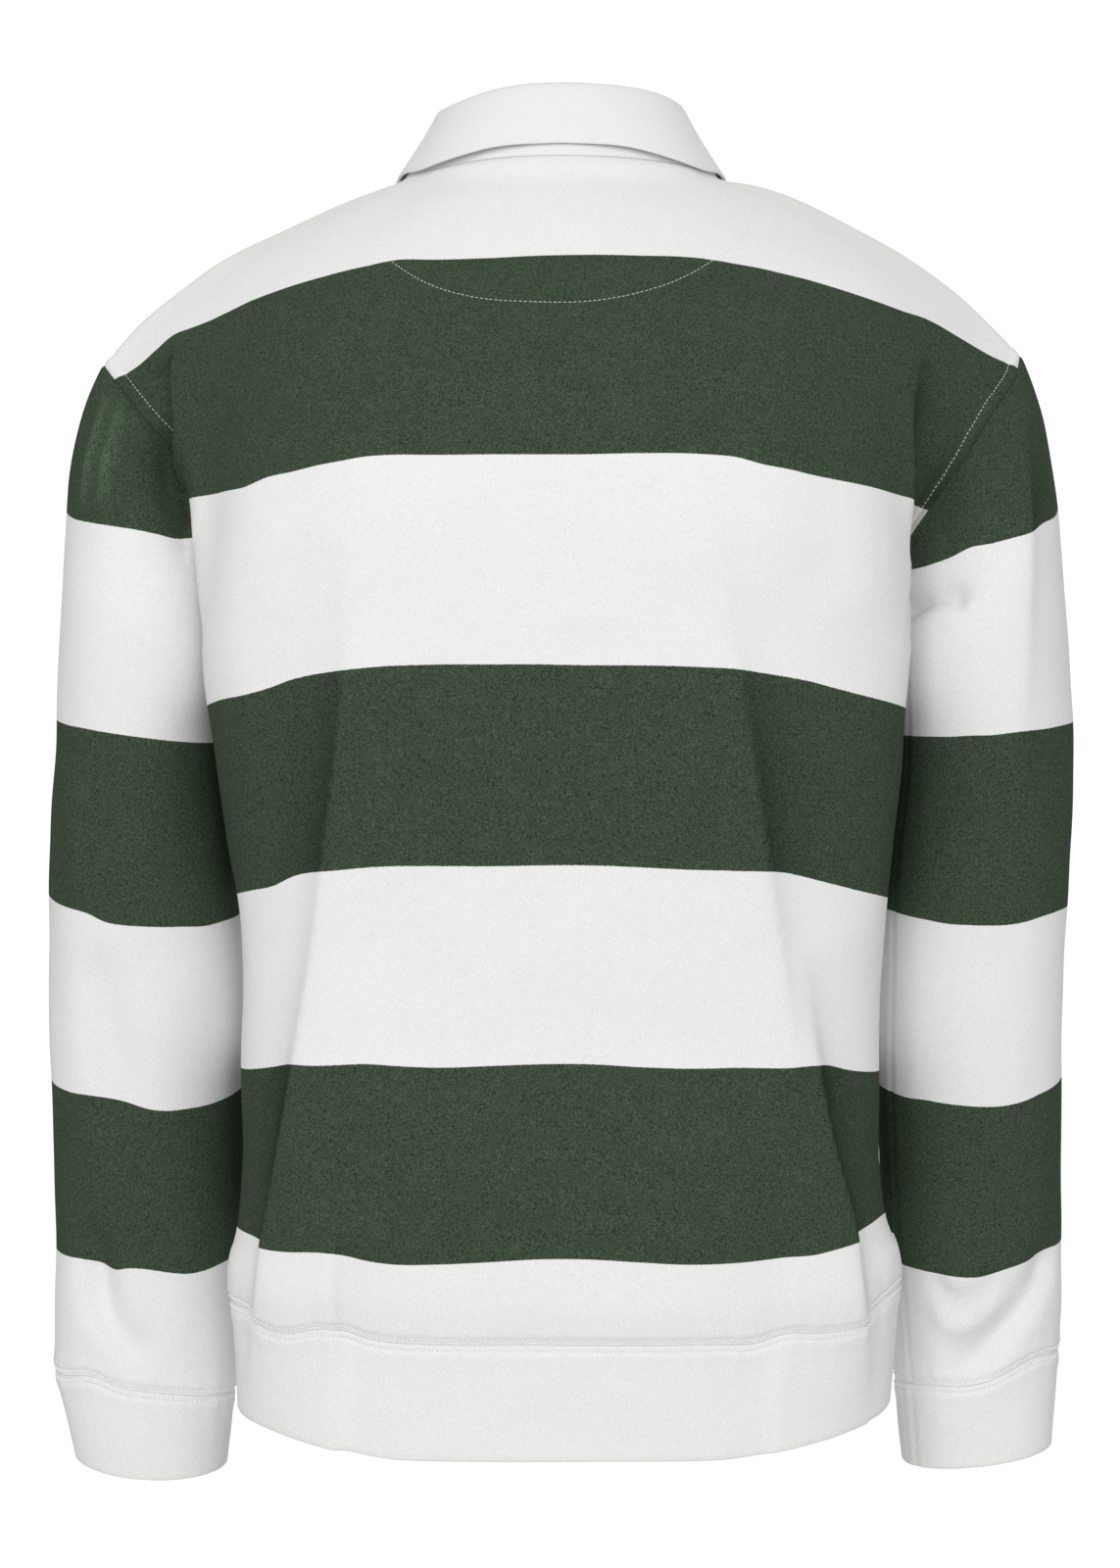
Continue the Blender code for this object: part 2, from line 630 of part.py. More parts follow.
def front_row(front, row):
    """The front panel's points at a row, or between two rows where it isn't a whole number."""
    low = int(row)
    share = row - low
    return front[low] if share == 0 else (1 - share) * front[low] + share * front[low + 1]


def placket_grid(front, tree, half, lift):
    """A strip on the front panel's own rows, from below the neck slit up to just under the neckline."""
    top, middle = len(front) - 1, front.shape[1] // 2
    drop = PLACKET_BELOW_NECK / np.linalg.norm(front[top, middle] - front[top - 1, middle])
    across = (-half, -SLIT_HALF, 0, SLIT_HALF, half)
    grid = []
    for row in (SLIT_ROW - PLACKET_PAST_SLIT, *range(SLIT_ROW, top), top - drop):
        line = front_row(front, row)
        points = np.stack([np.interp(across, line[:, 0], line[:, k]) for k in range(3)], axis=1)
        grid.append([Vector(p) + tree.find_nearest(Vector(p))[1] * lift for p in points])
    return np.array(grid)


def button(name, tree, level):
    """A turned disc with a raised rim, lying on the upper placket strip."""
    places = (-BUTTON_RADIUS, 0, BUTTON_RADIUS)
    hits = [tree.ray_cast(Vector((x, -1, level)), Vector((0, 1, 0))) for x in places]
    normal = (hits[0][1] + hits[2][1]).normalized()
    seat = hits[1][0] + normal * (2 * SEAM_GAP + TWILL_WALL + BUTTON_STANDS_OFF)
    radius, thick = BUTTON_RADIUS, BUTTON_THICKNESS
    profile = (
        (0.55 * radius, 0.0),
        (0.90 * radius, 0.15 * thick),
        (radius, 0.45 * thick),
        (0.97 * radius, 0.85 * thick),
        (0.86 * radius, thick),
        (0.70 * radius, 0.80 * thick),
        (0.45 * radius, 0.62 * thick),
    )
    turn = Vector((0, 0, 1)).rotation_difference(normal).to_matrix()
    points, faces = [], []
    for r, h in profile:
        for i in range(BUTTON_SIDES):
            angle = 2 * math.pi * i / BUTTON_SIDES
            points.append(Vector((r * math.cos(angle), r * math.sin(angle), h)))
    for ring in range(len(profile) - 1):
        for i in range(BUTTON_SIDES):
            j = (i + 1) % BUTTON_SIDES
            low, high = ring * BUTTON_SIDES, (ring + 1) * BUTTON_SIDES
            faces.append((low + i, low + j, high + j, high + i))
    faces.append(tuple(range(BUTTON_SIDES))[::-1])
    faces.append(tuple(range((len(profile) - 1) * BUTTON_SIDES, len(profile) * BUTTON_SIDES)))
    points = [turn @ p + seat for p in points]
    return add_object(name, points, faces, "button", [0] * len(faces))


# ---- walls ----
def grid_quads(rows, columns, wrap=False, flip=False, slit=None):
    """Faces of a grid; slit(row, column) is true where a quad is left out."""
    quads = []
    for r in range(rows - 1):
        for c in range(columns if wrap else columns - 1):
            if slit and slit(r, c):
                continue
            d = (c + 1) % columns
            quad = (r * columns + c, r * columns + d, (r + 1) * columns + d, (r + 1) * columns + c)
            quads.append(quad[::-1] if flip else quad)
    return quads


def seam_normals(pieces):
    """The way out at each point. A group's pieces share it, and so do groups that meet in a ridge."""
    ways, inwards = {}, {}
    for _, group, points, faces, *_ in pieces:
        for face in faces:
            corners = points[list(face)]
            normal = np.cross(corners[2] - corners[0], corners[-1] - corners[1])
            middle = corners.mean(axis=0)
            for corner in corners:
                key = tuple(np.round(corner, 6)), group
                ways[key] = ways.get(key, 0) + normal
                inwards[key] = inwards.get(key, 0) + middle - corner
    shared = {}
    for place, group in ways:
        shared.setdefault(place, []).append(group)
    result = []
    for _, group, points, *_ in pieces:
        normals = np.tile((0.0, 0.0, 1.0), (len(points), 1))
        for i, place in enumerate(map(tuple, np.round(points, 6))):
            if (place, group) not in ways:
                continue
            total = unit(ways[place, group])
            for other in shared[place]:
                way = unit(ways[place, other])
                if other != group and way.dot(inwards[place, group]) < 0 and way.dot(total) > 0:
                    total = total + way
            normals[i] = unit(total)
        result.append(normals)
    return result


def drawn_in(points, quads):
    """Points of the piece's edges move half a seam gap into the piece."""
    uses = {}
    for quad in quads:
        for a, b in zip(quad, quad[1:] + quad[:1]):
            uses.setdefault(frozenset((a, b)), []).append((a, b))
    edges = [pairs[0] for pairs in uses.values() if len(pairs) == 1]
    near, along = {}, {}
    for a, b in edges:
        along[a] = along.get(a, 0) + points[b] - points[a]
        along[b] = along.get(b, 0) + points[b] - points[a]
    for quad in quads:
        middle = points[list(quad)].mean(axis=0)
        for i in quad:
            if i in along:
                near.setdefault(i, []).append(middle)
    shift = np.zeros_like(points)
    for i, middles in near.items():
        inward = np.mean(middles, axis=0) - points[i]
        tangent = along[i] / max(np.linalg.norm(along[i]), 1e-9)
        inward -= tangent * inward.dot(tangent)
        shift[i] = inward / np.linalg.norm(inward) * SEAM_GAP / 2
    return shift, edges


def wall(name, points, quads, thickness, normals, material, kinds):
    """A closed wall: the outer faces, the inner faces one thickness in, and the faces round its edges."""
    shift, edges = drawn_in(points, quads)
    outer = points + shift
    inner = outer - normals * thickness
    used = sorted({i for quad in quads for i in quad})
    place = {i: n for n, i in enumerate(used)}
    count = len(used)
    faces = [tuple(place[i] for i in quad) for quad in quads]
    faces += [tuple(place[i] + count for i in quad[::-1]) for quad in quads]
    faces += [(place[b], place[a], place[a] + count, place[b] + count) for a, b in edges]
    kinds = kinds * 2 + [0] * len(edges)
    return add_object(name, np.concatenate([outer[used], inner[used]]), faces, material, kinds)


def new_material(name, colour, roughness):
    material = bpy.data.materials.new(name)
    material.use_nodes = True
    shader = material.node_tree.nodes["Principled BSDF"]
    shader.inputs["Base Color"].default_value = (*colour, 1.0)
    shader.inputs["Roughness"].default_value = roughness
    shader.inputs["Metallic"].default_value = 0.0
    material.diffuse_color = (*colour, 1.0)
    return material


def add_object(name, points, faces, material, kinds):
    mesh = bpy.data.meshes.new(name)
    mesh.from_pydata([tuple(p) for p in points], [], faces)
    colour, roughness = FINISHES[material]
    mesh.materials.append(new_material(name, colour, roughness))
    if any(kinds):
        mesh.materials.append(new_material(name + "_green", GREEN, CLOTH_ROUGHNESS))
        mesh.polygons.foreach_set("material_index", kinds)
    mesh.shade_smooth()
    mesh.set_sharp_from_angle(angle=math.radians(50))
    obj = bpy.data.objects.new(name, mesh)
    bpy.context.scene.collection.objects.link(obj)
    return obj


WALLS = {"fleece": FLEECE_WALL, "rib": RIB_WALL, "twill": TWILL_WALL}
FINISHES = {
    "fleece": (WHITE, CLOTH_ROUGHNESS),
    "rib": (WHITE, CLOTH_ROUGHNESS),
    "twill": (TWILL_WHITE, CLOTH_ROUGHNESS),
    "button": (BUTTON_WHITE, BUTTON_ROUGHNESS),
}


def body_pieces(back, front, band, heights):
    rows, columns = back.shape[:2]
    middle = columns // 2

    def slit(row, column):
        return row >= SLIT_ROW and column in (middle - 1, middle)

    quads = {"back": grid_quads(rows, columns, flip=True), "front": grid_quads(rows, columns, slit=slit)}
    pieces = []
    for name, grid in (("back", back), ("front", front)):
        faces, kinds = striped_faces(quads[name], heights[name].ravel(), FIRST_STRIPE)
        pieces.append((name, "body", grid.reshape(-1, 3), faces, "fleece", kinds))
    faces = grid_quads(*band.shape[:2], wrap=True)
    return pieces + [("hem_band", "body", band.reshape(-1, 3), faces, "rib", [0] * len(faces))]


def arm_pieces(side, back, front):
    name = "left" if side > 0 else "right"
    sleeve, heights = sleeve_grid(side, back, front)
    quads = grid_quads(*sleeve.shape[:2], wrap=True, flip=side > 0)
    faces, kinds = striped_faces(quads, heights.ravel(), SLEEVE_FIRST_STRIPE)
    cuff = cuff_grid(side, sleeve)
    ends = grid_quads(*cuff.shape[:2], wrap=True, flip=side > 0)
    return [
        ("sleeve_" + name, name, sleeve.reshape(-1, 3), faces, "fleece", kinds),
        ("cuff_" + name, name, cuff.reshape(-1, 3), ends, "rib", [0] * len(ends)),
    ]


def neck_pieces(back, front, tree):
    loop, turn = neck_loop(back, front)
    stand = stand_grid(loop, turn)
    fall = fall_grid(tree, turn)
    over = placket_grid(front, tree, PLACKET_OVER_HALF, 2 * SEAM_GAP + TWILL_WALL)
    under = placket_grid(front, tree, PLACKET_UNDER_HALF, -FLEECE_WALL - SEAM_GAP)
    pieces = []
    for name, grid, flip in (
        ("collar_stand", stand, False),
        ("collar_fall", fall, True),
        ("placket_over", over, False),
        ("placket_under", under, False),
    ):
        faces = grid_quads(*grid.shape[:2], flip=flip)
        pieces.append((name, name, grid.reshape(-1, 3), faces, "twill", [0] * len(faces)))
    return pieces


def main():
    for obj in list(bpy.data.objects):
        bpy.data.objects.remove(obj, do_unlink=True)
    back, back_heights = body_panel("back")
    front, front_heights = body_panel("front")
    halves = [[body_half(face, side)[0] for side in (-1, 1)] for face in ("back", "front")]
    plain_back, plain_front = [
        np.concatenate([right[::-1] * (-1, 1, 1), left[1:]]) for right, left in halves
    ]
    plain_hem = np.concatenate([plain_back, plain_front[::-1][1:-1]])
    band = hem_band_grid(back, front, plain_hem)
    tree = body_tree(back, front)
    pieces = body_pieces(back, front, band, {"back": back_heights, "front": front_heights})
    pieces += arm_pieces(1, back, front) + arm_pieces(-1, back, front)
    pieces += neck_pieces(back, front, tree)
    for (name, _, points, faces, material, kinds), ways in zip(pieces, seam_normals(pieces)):
        wall(name, points, faces, WALLS[material], ways, material, kinds)
    for number, level in enumerate(BUTTON_LEVELS, 1):
        button(f"button_{number}", tree, level)


main()
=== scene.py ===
"""The rugby shirt's looks: hooped fleece, white bands, twill collar and placket, stitching and buttons.

Metres, +Z up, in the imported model's own frame. Each cloth piece is a grid of points that follows the model's
own measurements. Folds, creases and seams lift it or lower it, and it becomes a thin closed wall with rounded
edges. Most tables are read on a smooth curve between their rows.
"""

import math

import bpy
import numpy as np
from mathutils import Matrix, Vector
from mathutils.bvhtree import BVHTree


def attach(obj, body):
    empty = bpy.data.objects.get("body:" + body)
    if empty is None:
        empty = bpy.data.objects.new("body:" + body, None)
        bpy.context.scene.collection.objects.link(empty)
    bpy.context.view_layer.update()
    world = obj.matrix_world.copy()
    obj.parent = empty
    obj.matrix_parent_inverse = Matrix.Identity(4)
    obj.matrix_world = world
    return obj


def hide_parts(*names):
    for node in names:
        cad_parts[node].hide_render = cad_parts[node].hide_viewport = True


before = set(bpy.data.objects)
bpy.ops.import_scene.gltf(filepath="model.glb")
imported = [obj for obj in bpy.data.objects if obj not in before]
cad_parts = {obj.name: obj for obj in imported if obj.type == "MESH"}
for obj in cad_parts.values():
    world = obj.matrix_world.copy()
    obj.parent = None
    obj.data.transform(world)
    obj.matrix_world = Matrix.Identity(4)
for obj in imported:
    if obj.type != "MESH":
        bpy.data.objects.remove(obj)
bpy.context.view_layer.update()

# ---- cloth ----
FLEECE_WALL = 0.0014
BAND_WALL = 0.0024
TWILL_WALL = 0.0013
FALL_WALL = 0.0018
PLACKET_WALL = 0.0016
RIM_STEPS = 4
SEWN_RIM = 0.35

# ---- how fine the cloth grids are ----
NECK_COLUMNS = 30
SHOULDER_COLUMNS = 66
EDGE_COLUMNS = 8
EDGE_REACH = 0.010
SLIT_COLUMNS = 5
BODY_ROWS = 116
SEAM_ROWS = 8
SEAM_REACH = 0.0064
ARMHOLE_ROWS = 66
UNDERARM = {"left": 66, "right": 54}
CAP_ROWS = 40
SHOULDER_ROWS = 30
ROW = 0.003
BAND_ROWS = 20
STAND_ROWS = 8
FALL_ROWS = 26
DENSE = 500
SMOOTH_TIMES = 300
SMOOTH_REACH = 40
SMOOTH_HEIGHTS = (0.15, 0.55)
EDGE_KEEPS = 0.15
CALM = {"back": 0.10, "front": 0.60}
BOTH_WAYS = (slice(None), slice(None, None, -1))


def table(columns, *rows):
    """Rows of numbers under named columns. The first column is the key, in rising order."""
    return dict(zip(columns.split(), np.array(rows, float).T))


# ---- the body ----
HEM_SEAM = -0.6025
ARMPIT = -0.2370
TORSO = table(
    "level  half_left half_right  y_back y_front  y_wide y_seam hollow",
    (HEM_SEAM, 0.1736, 0.1766, 0.124, -0.118, 0.035, 0.012, 0.000),
    (-0.5900, 0.1745, 0.1765, 0.129, -0.122, 0.036, 0.012, 0.000),
    (-0.5593, 0.1690, 0.1695, 0.132, -0.125, 0.040, 0.012, 0.000),
    (-0.4614, 0.1665, 0.1650, 0.130, -0.127, 0.045, 0.010, 0.000),
    (-0.3625, 0.1690, 0.1695, 0.136, -0.131, 0.045, 0.008, 0.001),
    (-0.3125, 0.1765, 0.1755, 0.141, -0.134, 0.045, 0.004, 0.004),
    (-0.2622, 0.1835, 0.1790, 0.145, -0.136, 0.045, 0.000, 0.009),
    (ARMPIT, 0.1860, 0.1815, 0.146, -0.136, 0.045, -0.002, 0.010),
)
SQUARE_BACK = 2.7
SQUARE_FRONT = 2.3
HOLLOW_REACH = 0.035
HOLLOW_FROM_X = 0.1
RISE = table(
    "level rise",
    (-0.6625, 0.80),
    (HEM_SEAM, 0.50),
    (-0.5593, 0.24),
    (-0.4614, -0.51),
    (-0.3625, -0.75),
    (-0.2622, -0.61),
    (-0.1569, -0.55),
    (-0.0540, -1.05),
    (0.0045, -1.05),
)
RISE_FROM = 0.08
RISE_POWER = 1.6
STRIPE = 0.1016
FIRST_STRIPE = 0.0437
CLOTH = table(
    "level height",
    (-0.6625, -0.0610),
    (HEM_SEAM, 0.0),
    (-0.5593, FIRST_STRIPE),
    (-0.4614, FIRST_STRIPE + STRIPE),
    (-0.3625, FIRST_STRIPE + 2 * STRIPE),
    (-0.2622, FIRST_STRIPE + 3 * STRIPE),
    (-0.1569, FIRST_STRIPE + 4 * STRIPE),
    (-0.0540, FIRST_STRIPE + 5 * STRIPE),
    (0.0045, 0.6260),
)

# ---- how far each hoop's edge lies below its level place, across the shirt, lowest edge first ----
BODY_WANDER = table(
    "x  edge_1 edge_2 edge_3 edge_4 edge_5 edge_6",
    (-0.2274, -0.0044, -0.0019, 0.0019, 0.0049, 0.0054, 0.0024),
    (-0.2075, -0.0044, -0.0019, 0.0019, 0.0049, 0.0054, -0.0005),
    (-0.1876, -0.0044, -0.0019, 0.0019, 0.0049, 0.0054, -0.0024),
    (-0.1776, -0.0044, -0.0019, 0.0019, 0.0049, 0.0054, -0.0005),
    (-0.1652, -0.0044, -0.0019, 0.0019, 0.0049, 0.0054, 0.0005),
    (-0.1502, -0.0044, -0.0019, 0.0019, 0.0049, 0.0054, 0.0015),
    (-0.1378, -0.0019, -0.0034, 0.0015, 0.0044, 0.0054, 0.0019),
    (-0.1254, 0.0005, -0.0024, 0.0008, 0.0034, 0.0054, 0.0019),
    (-0.1129, 0.0008, 0.0000, 0.0000, 0.0029, 0.0046, 0.0022),
    (-0.1005, 0.0010, 0.0010, 0.0005, 0.0024, 0.0039, 0.0019),
    (-0.0881, 0.0015, 0.0015, 0.0015, 0.0015, 0.0015, 0.0015),
    (-0.0756, 0.0019, 0.0019, 0.0015, 0.0010, 0.0005, -0.0005),
    (-0.0632, 0.0019, 0.0019, 0.0012, 0.0005, 0.0000, -0.0017),
    (-0.0383, 0.0005, 0.0010, 0.0000, 0.0000, 0.0000, -0.0015),
    (-0.0134, -0.0010, -0.0005, -0.0010, 0.0000, 0.0005, -0.0015),
    (0.0114, -0.0010, -0.0005, -0.0010, -0.0005, 0.0005, -0.0012),
    (0.0363, 0.0005, 0.0005, -0.0005, -0.0005, 0.0005, 0.0000),
    (0.0612, 0.0019, 0.0015, -0.0005, -0.0005, 0.0007, 0.0000),
    (0.0861, 0.0024, 0.0005, -0.0005, 0.0000, 0.0005, -0.0005),
    (0.0985, 0.0015, -0.0010, -0.0010, 0.0000, 0.0005, 0.0010),
    (0.1109, -0.0005, -0.0015, -0.0015, 0.0000, 0.0010, 0.0010),
    (0.1234, -0.0010, -0.0024, -0.0024, 0.0000, 0.0010, 0.0010),
    (0.1358, -0.0005, -0.0044, -0.0024, 0.0005, 0.0015, 0.0010),
    (0.1483, -0.0005, -0.0039, 0.0005, 0.0024, 0.0019, 0.0010),
    (0.1607, -0.0015, -0.0034, 0.0000, 0.0029, 0.0049, 0.0005),
    (0.1731, -0.0015, -0.0034, 0.0000, 0.0019, 0.0036, 0.0012),
    (0.1831, -0.0015, -0.0034, 0.0000, 0.0019, 0.0029, 0.0015),
    (0.1930, -0.0015, -0.0034, 0.0000, 0.0019, 0.0029, 0.0006),
    (0.2030, -0.0015, -0.0034, 0.0000, 0.0019, 0.0029, 0.0000),
    (0.2129, -0.0015, -0.0034, 0.0000, 0.0019, 0.0029, 0.0058),
    (0.2229, -0.0015, -0.0034, 0.0000, 0.0019, 0.0029, 0.0127),
    (0.2313, -0.0015, -0.0034, 0.0000, 0.0019, 0.0029, 0.0156),
)
LEFT_WANDER = table(
    "x  edge_1 edge_2 edge_3 edge_4 edge_5",
    (0.1685, -0.0046, -0.0031, -0.0036, -0.0010, 0.0046),
    (0.1777, -0.0029, -0.0020, -0.0023, -0.0010, 0.0046),
    (0.1879, 0.0000, -0.0010, -0.0005, -0.0010, 0.0046),
    (0.1981, 0.0012, -0.0007, -0.0005, -0.0013, 0.0048),
    (0.2083, 0.0000, -0.0005, 0.0000, -0.0015, 0.0026),
    (0.2185, -0.0017, -0.0020, 0.0003, -0.0017, 0.0010),
    (0.2287, -0.0020, -0.0051, 0.0005, -0.0020, -0.0005),
    (0.2389, 0.0003, -0.0071, 0.0000, -0.0020, -0.0026),
    (0.2491, -0.0015, -0.0082, -0.0031, -0.0020, -0.0046),
    (0.2593, -0.0041, -0.0077, -0.0036, -0.0015, -0.0061),
)
RIGHT_WANDER = table(
    "x  edge_1 edge_2 edge_3 edge_4 edge_5",
    (-0.2629, -0.0046, -0.0031, -0.0041, -0.0005, -0.0061),
    (-0.2537, -0.0036, -0.0026, -0.0031, -0.0005, -0.0036),
    (-0.2435, -0.0036, -0.0010, -0.0010, -0.0010, 0.0020),
    (-0.2333, -0.0026, -0.0005, 0.0000, -0.0010, 0.0046),
    (-0.2231, 0.0000, -0.0010, 0.0000, -0.0005, 0.0071),
    (-0.2129, -0.0005, -0.0020, -0.0005, -0.0010, 0.0092),
    (-0.2027, -0.0020, -0.0031, -0.0010, -0.0010, 0.0153),
    (-0.1925, -0.0036, -0.0041, -0.0026, -0.0015, 0.0212),
    (-0.1822, -0.0051, -0.0034, -0.0039, -0.0020, 0.0275),
    (-0.1746, -0.0071, -0.0041, -0.0051, -0.0026, 0.0310),
    (-0.1685, -0.0082, -0.0046, -0.0061, -0.0041, 0.0330),
)

# ---- above the armpit ----
CENTRE_BACK = table(
    "share y z",
    (0.00, 0.146, ARMPIT),
    (0.30, 0.141, -0.157),
    (0.50, 0.128, -0.106),
    (0.72, 0.100, -0.054),
    (0.87, 0.077, -0.020),
    (1.00, 0.055, 0.0045),
)
CENTRE_FRONT = table(
    "share y z",
    (0.00, -0.136, ARMPIT),
    (0.50, -0.127, -0.155),
    (0.80, -0.110, -0.107),
    (1.00, -0.094, -0.078),
)
NECK_HALF = 0.083
NECK_SIDE_Y = 0.002
NECK_BACK_Y = 0.055
NECK_FRONT_Y = -0.094
NECK_BACK_Z = 0.0045
NECK_SIDE_Z = -0.0010
NECK_FRONT_Z = -0.078
NECK_DIP_BACK = 1.3
NECK_DIP_FRONT = 1.8
TIP_X = 0.2436
TIP_Y = 0.001
SHOULDER = table(
    "x left right",
    (NECK_HALF, NECK_SIDE_Z, NECK_SIDE_Z),
    (0.1000, -0.0062, -0.0030),
    (0.1420, -0.0246, -0.0185),
    (0.1732, -0.0402, -0.0357),
    (0.2044, -0.0610, -0.0575),
    (0.2241, -0.0771, -0.0750),
    (TIP_X, -0.0984, -0.0935),
)
ARMHOLE_LEFT = table(
    "share x z y_back y_front",
    (0.00, 0.1720, -0.2520, -0.002, -0.002),
    (0.15, 0.1755, -0.2290, 0.017, -0.022),
    (0.30, 0.1810, -0.2040, 0.030, -0.036),
    (0.45, 0.1890, -0.1760, 0.038, -0.043),
    (0.60, 0.2005, -0.1505, 0.039, -0.043),
    (0.75, 0.2180, -0.1310, 0.032, -0.036),
    (0.90, 0.2345, -0.1100, 0.015, -0.020),
    (1.00, TIP_X, -0.0984, TIP_Y, TIP_Y),
)
ARMHOLE_RIGHT = table(
    "share x z y_back y_front",
    (0.00, 0.1700, -0.2520, -0.002, -0.002),
    (0.15, 0.1740, -0.2280, 0.017, -0.022),
    (0.30, 0.1815, -0.2015, 0.030, -0.036),
    (0.45, 0.1950, -0.1765, 0.038, -0.043),
    (0.60, 0.2108, -0.1520, 0.039, -0.043),
    (0.75, 0.2250, -0.1285, 0.032, -0.036),
    (0.90, 0.2395, -0.1075, 0.015, -0.020),
    (1.00, TIP_X, -0.0935, TIP_Y, TIP_Y),
)

# ---- sleeves and cuffs ----
ARMPIT_HEIGHT = 0.430
CAP_HEIGHT = 0.130
CAP_FIRST_SHARE = 0.06
CAP_FIRST_ROWS = 5
CAP_OUT = 0.10
CAP_OUT_ON_TOP = 0.16
CAP_OUT_BESIDE = 0.30
CAP_DOWN = 0.85
SLEEVE_FIRST_STRIPE = 0.0660
SLEEVE_LEFT = table(
    "height  x_out x_in  y_mid deep  z_out z_back z_in z_front",
    (0.0000, 0.2745, 0.1780, -0.055, 0.044, -0.6381, -0.6451, -0.6495, -0.6400),
    (0.0300, 0.2752, 0.1745, -0.053, 0.051, -0.6090, -0.6160, -0.6170, -0.6080),
    (0.0660, 0.2738, 0.1715, -0.050, 0.053, -0.5741, -0.5800, -0.5768, -0.5710),
    (0.1676, 0.2750, 0.1695, -0.042, 0.056, -0.4844, -0.4942, -0.4844, -0.4750),
    (0.2692, 0.2750, 0.1705, -0.030, 0.060, -0.3823, -0.3952, -0.3923, -0.3820),
    (0.3708, 0.2695, 0.1785, -0.018, 0.0635, -0.2868, -0.2980, -0.2980, -0.2870),
    (0.4200, 0.2665, 0.1790, -0.010, 0.062, -0.2350, -0.2460, -0.2640, -0.2400),
)
SLEEVE_RIGHT = table(
    "height  x_out x_in  y_mid deep  z_out z_back z_in z_front",
    (0.0000, 0.2702, 0.1815, -0.055, 0.043, -0.6275, -0.6352, -0.6440, -0.6320),
    (0.0300, 0.2710, 0.1800, -0.053, 0.051, -0.5990, -0.6090, -0.6120, -0.6000),
    (0.0660, 0.2698, 0.1770, -0.050, 0.053, -0.5688, -0.5820, -0.5790, -0.5700),
    (0.1676, 0.2700, 0.1700, -0.042, 0.056, -0.4791, -0.4921, -0.4844, -0.4740),
    (0.2692, 0.2710, 0.1705, -0.030, 0.060, -0.3881, -0.3952, -0.3900, -0.3820),
    (0.3708, 0.2723, 0.1785, -0.018, 0.0635, -0.2873, -0.2959, -0.2950, -0.2870),
    (0.4200, 0.2690, 0.1775, -0.010, 0.062, -0.2350, -0.2460, -0.2640, -0.2400),
)
CUFF_END_LEFT = (0.2650, 0.1815, -0.060, 0.038, -0.6850, -0.6945, -0.6900, -0.6870)
CUFF_END_RIGHT = (0.2668, 0.1855, -0.060, 0.037, -0.6790, -0.6870, -0.6890, -0.6810)
SLEEVE_SQUARE = 2.2

# ---- hem band ----
BAND_END = -0.6625
BAND_HALF_LEFT = 0.1695
BAND_HALF_RIGHT = 0.1720
BAND_BACK_Y = 0.114
BAND_FRONT_Y = -0.110
BAND_WIDE_Y = 0.028
BAND_SIDE_Y = 0.012

# ---- collar ----
FOLD_HALF = 0.0625
FOLD_MID_Y = -0.004
FOLD_BACK_Y = 0.046
FOLD_FRONT_Y = -0.083
FOLD_BACK_Z = 0.0394
FOLD_SIDE_Z = 0.0330
FOLD_FRONT_Z = -0.050
FOLD_DIP = 1.8
FOLD_UNEVEN = ((0.0014, 0.022, -0.050), (-0.0018, 0.018, 0.054))
COLLAR_OPENING = 0.0012
FALL_EDGE = table(
    "turn x y z",
    (0.00, 0.0000, 0.0564, 0.0108),
    (0.15, 0.0338, 0.0543, 0.0092),
    (0.28, 0.0593, 0.0462, 0.0040),
    (0.38, 0.0745, 0.0332, 0.0005),
    (0.50, 0.0868, 0.004, 0.0000),
    (0.62, 0.0905, -0.037, -0.0150),
    (0.75, 0.0860, -0.072, -0.0480),
    (0.88, 0.0720, -0.098, -0.0780),
    (1.00, 0.0520, -0.114, -0.0980),
)
FALL_LIFT = 0.0021
FALL_LEAVES_OUT = 0.45
FALL_LEAVES_DOWN = 0.9
NEAR_CLOTH = 0.012
PAST_EDGE = (0.001, 0.004)
OPEN_END_TURN = 3
CROWN = ((-0.0014, 0.0026), (-0.0002, 0.0036), (0.0012, 0.0040), (0.0030, 0.0028), (0.0044, 0.0006))

# ---- placket and buttons ----
SLIT_HALF = 0.0120
PLACKET_BELOW_SLIT = 0.016
PLACKET_OVER_HALF = 0.0165
PLACKET_UNDER_HALF = 0.0140
PLACKET_COLUMNS = 16
PLACKET_BELOW_NECK = 0.4
OVER_LIFT = 0.0021
UNDER_LIFT = -0.0018
BUTTON_LEVELS = (-0.101, -0.152, -0.203)
BUTTON_RADIUS = 0.0072
BUTTON_THICKNESS = 0.0032
BUTTON_STANDS_OFF = 0.0008
BUTTON_WELL = 0.62
BUTTON_SIDES = 48
BUTTON_RINGS = 30
HOLE_FROM_MIDDLE = 0.00145
HOLE_BOTTOM = 0.00058
HOLE_TOP = 0.00088
HOLE_DEPTH = 0.0014
THREAD_HALF = 0.0022
THREAD_LEVEL = 0.0021
THREAD_APART = 0.00018
BUTTONHOLE_HALF = 0.0098
BUTTONHOLE_APART = 0.0007

# ---- stitches: how far apart they are, how long and how wide ----
COVER_STITCH = (0.0023, 0.0021, 0.00080)
TOP_STITCH = (0.0025, 0.0017, 0.00038)
MOON_STITCH = (0.0025, 0.0018, 0.00038)
EDGE_STITCH = (0.0029, 0.0022, 0.00045)
BUTTON_STITCH = (0.0043, 0.0040, 0.00050)
BUTTONHOLE_STITCH = (0.00045, 0.0012, 0.00040)
COVER_SLANT = 1.2
STITCH_SIDES = 5
PITCH_VARIES = 0.06
TURN_VARIES = 0.10
SIZE_VARIES = 0.08
STITCH_RUN = 0.0006
COVER_FROM_SEAM = 0.0026
TOP_FROM_SEAM = 0.0070
EDGE_FROM_EDGE = 0.0022
BOX_FROM_END = 0.0140

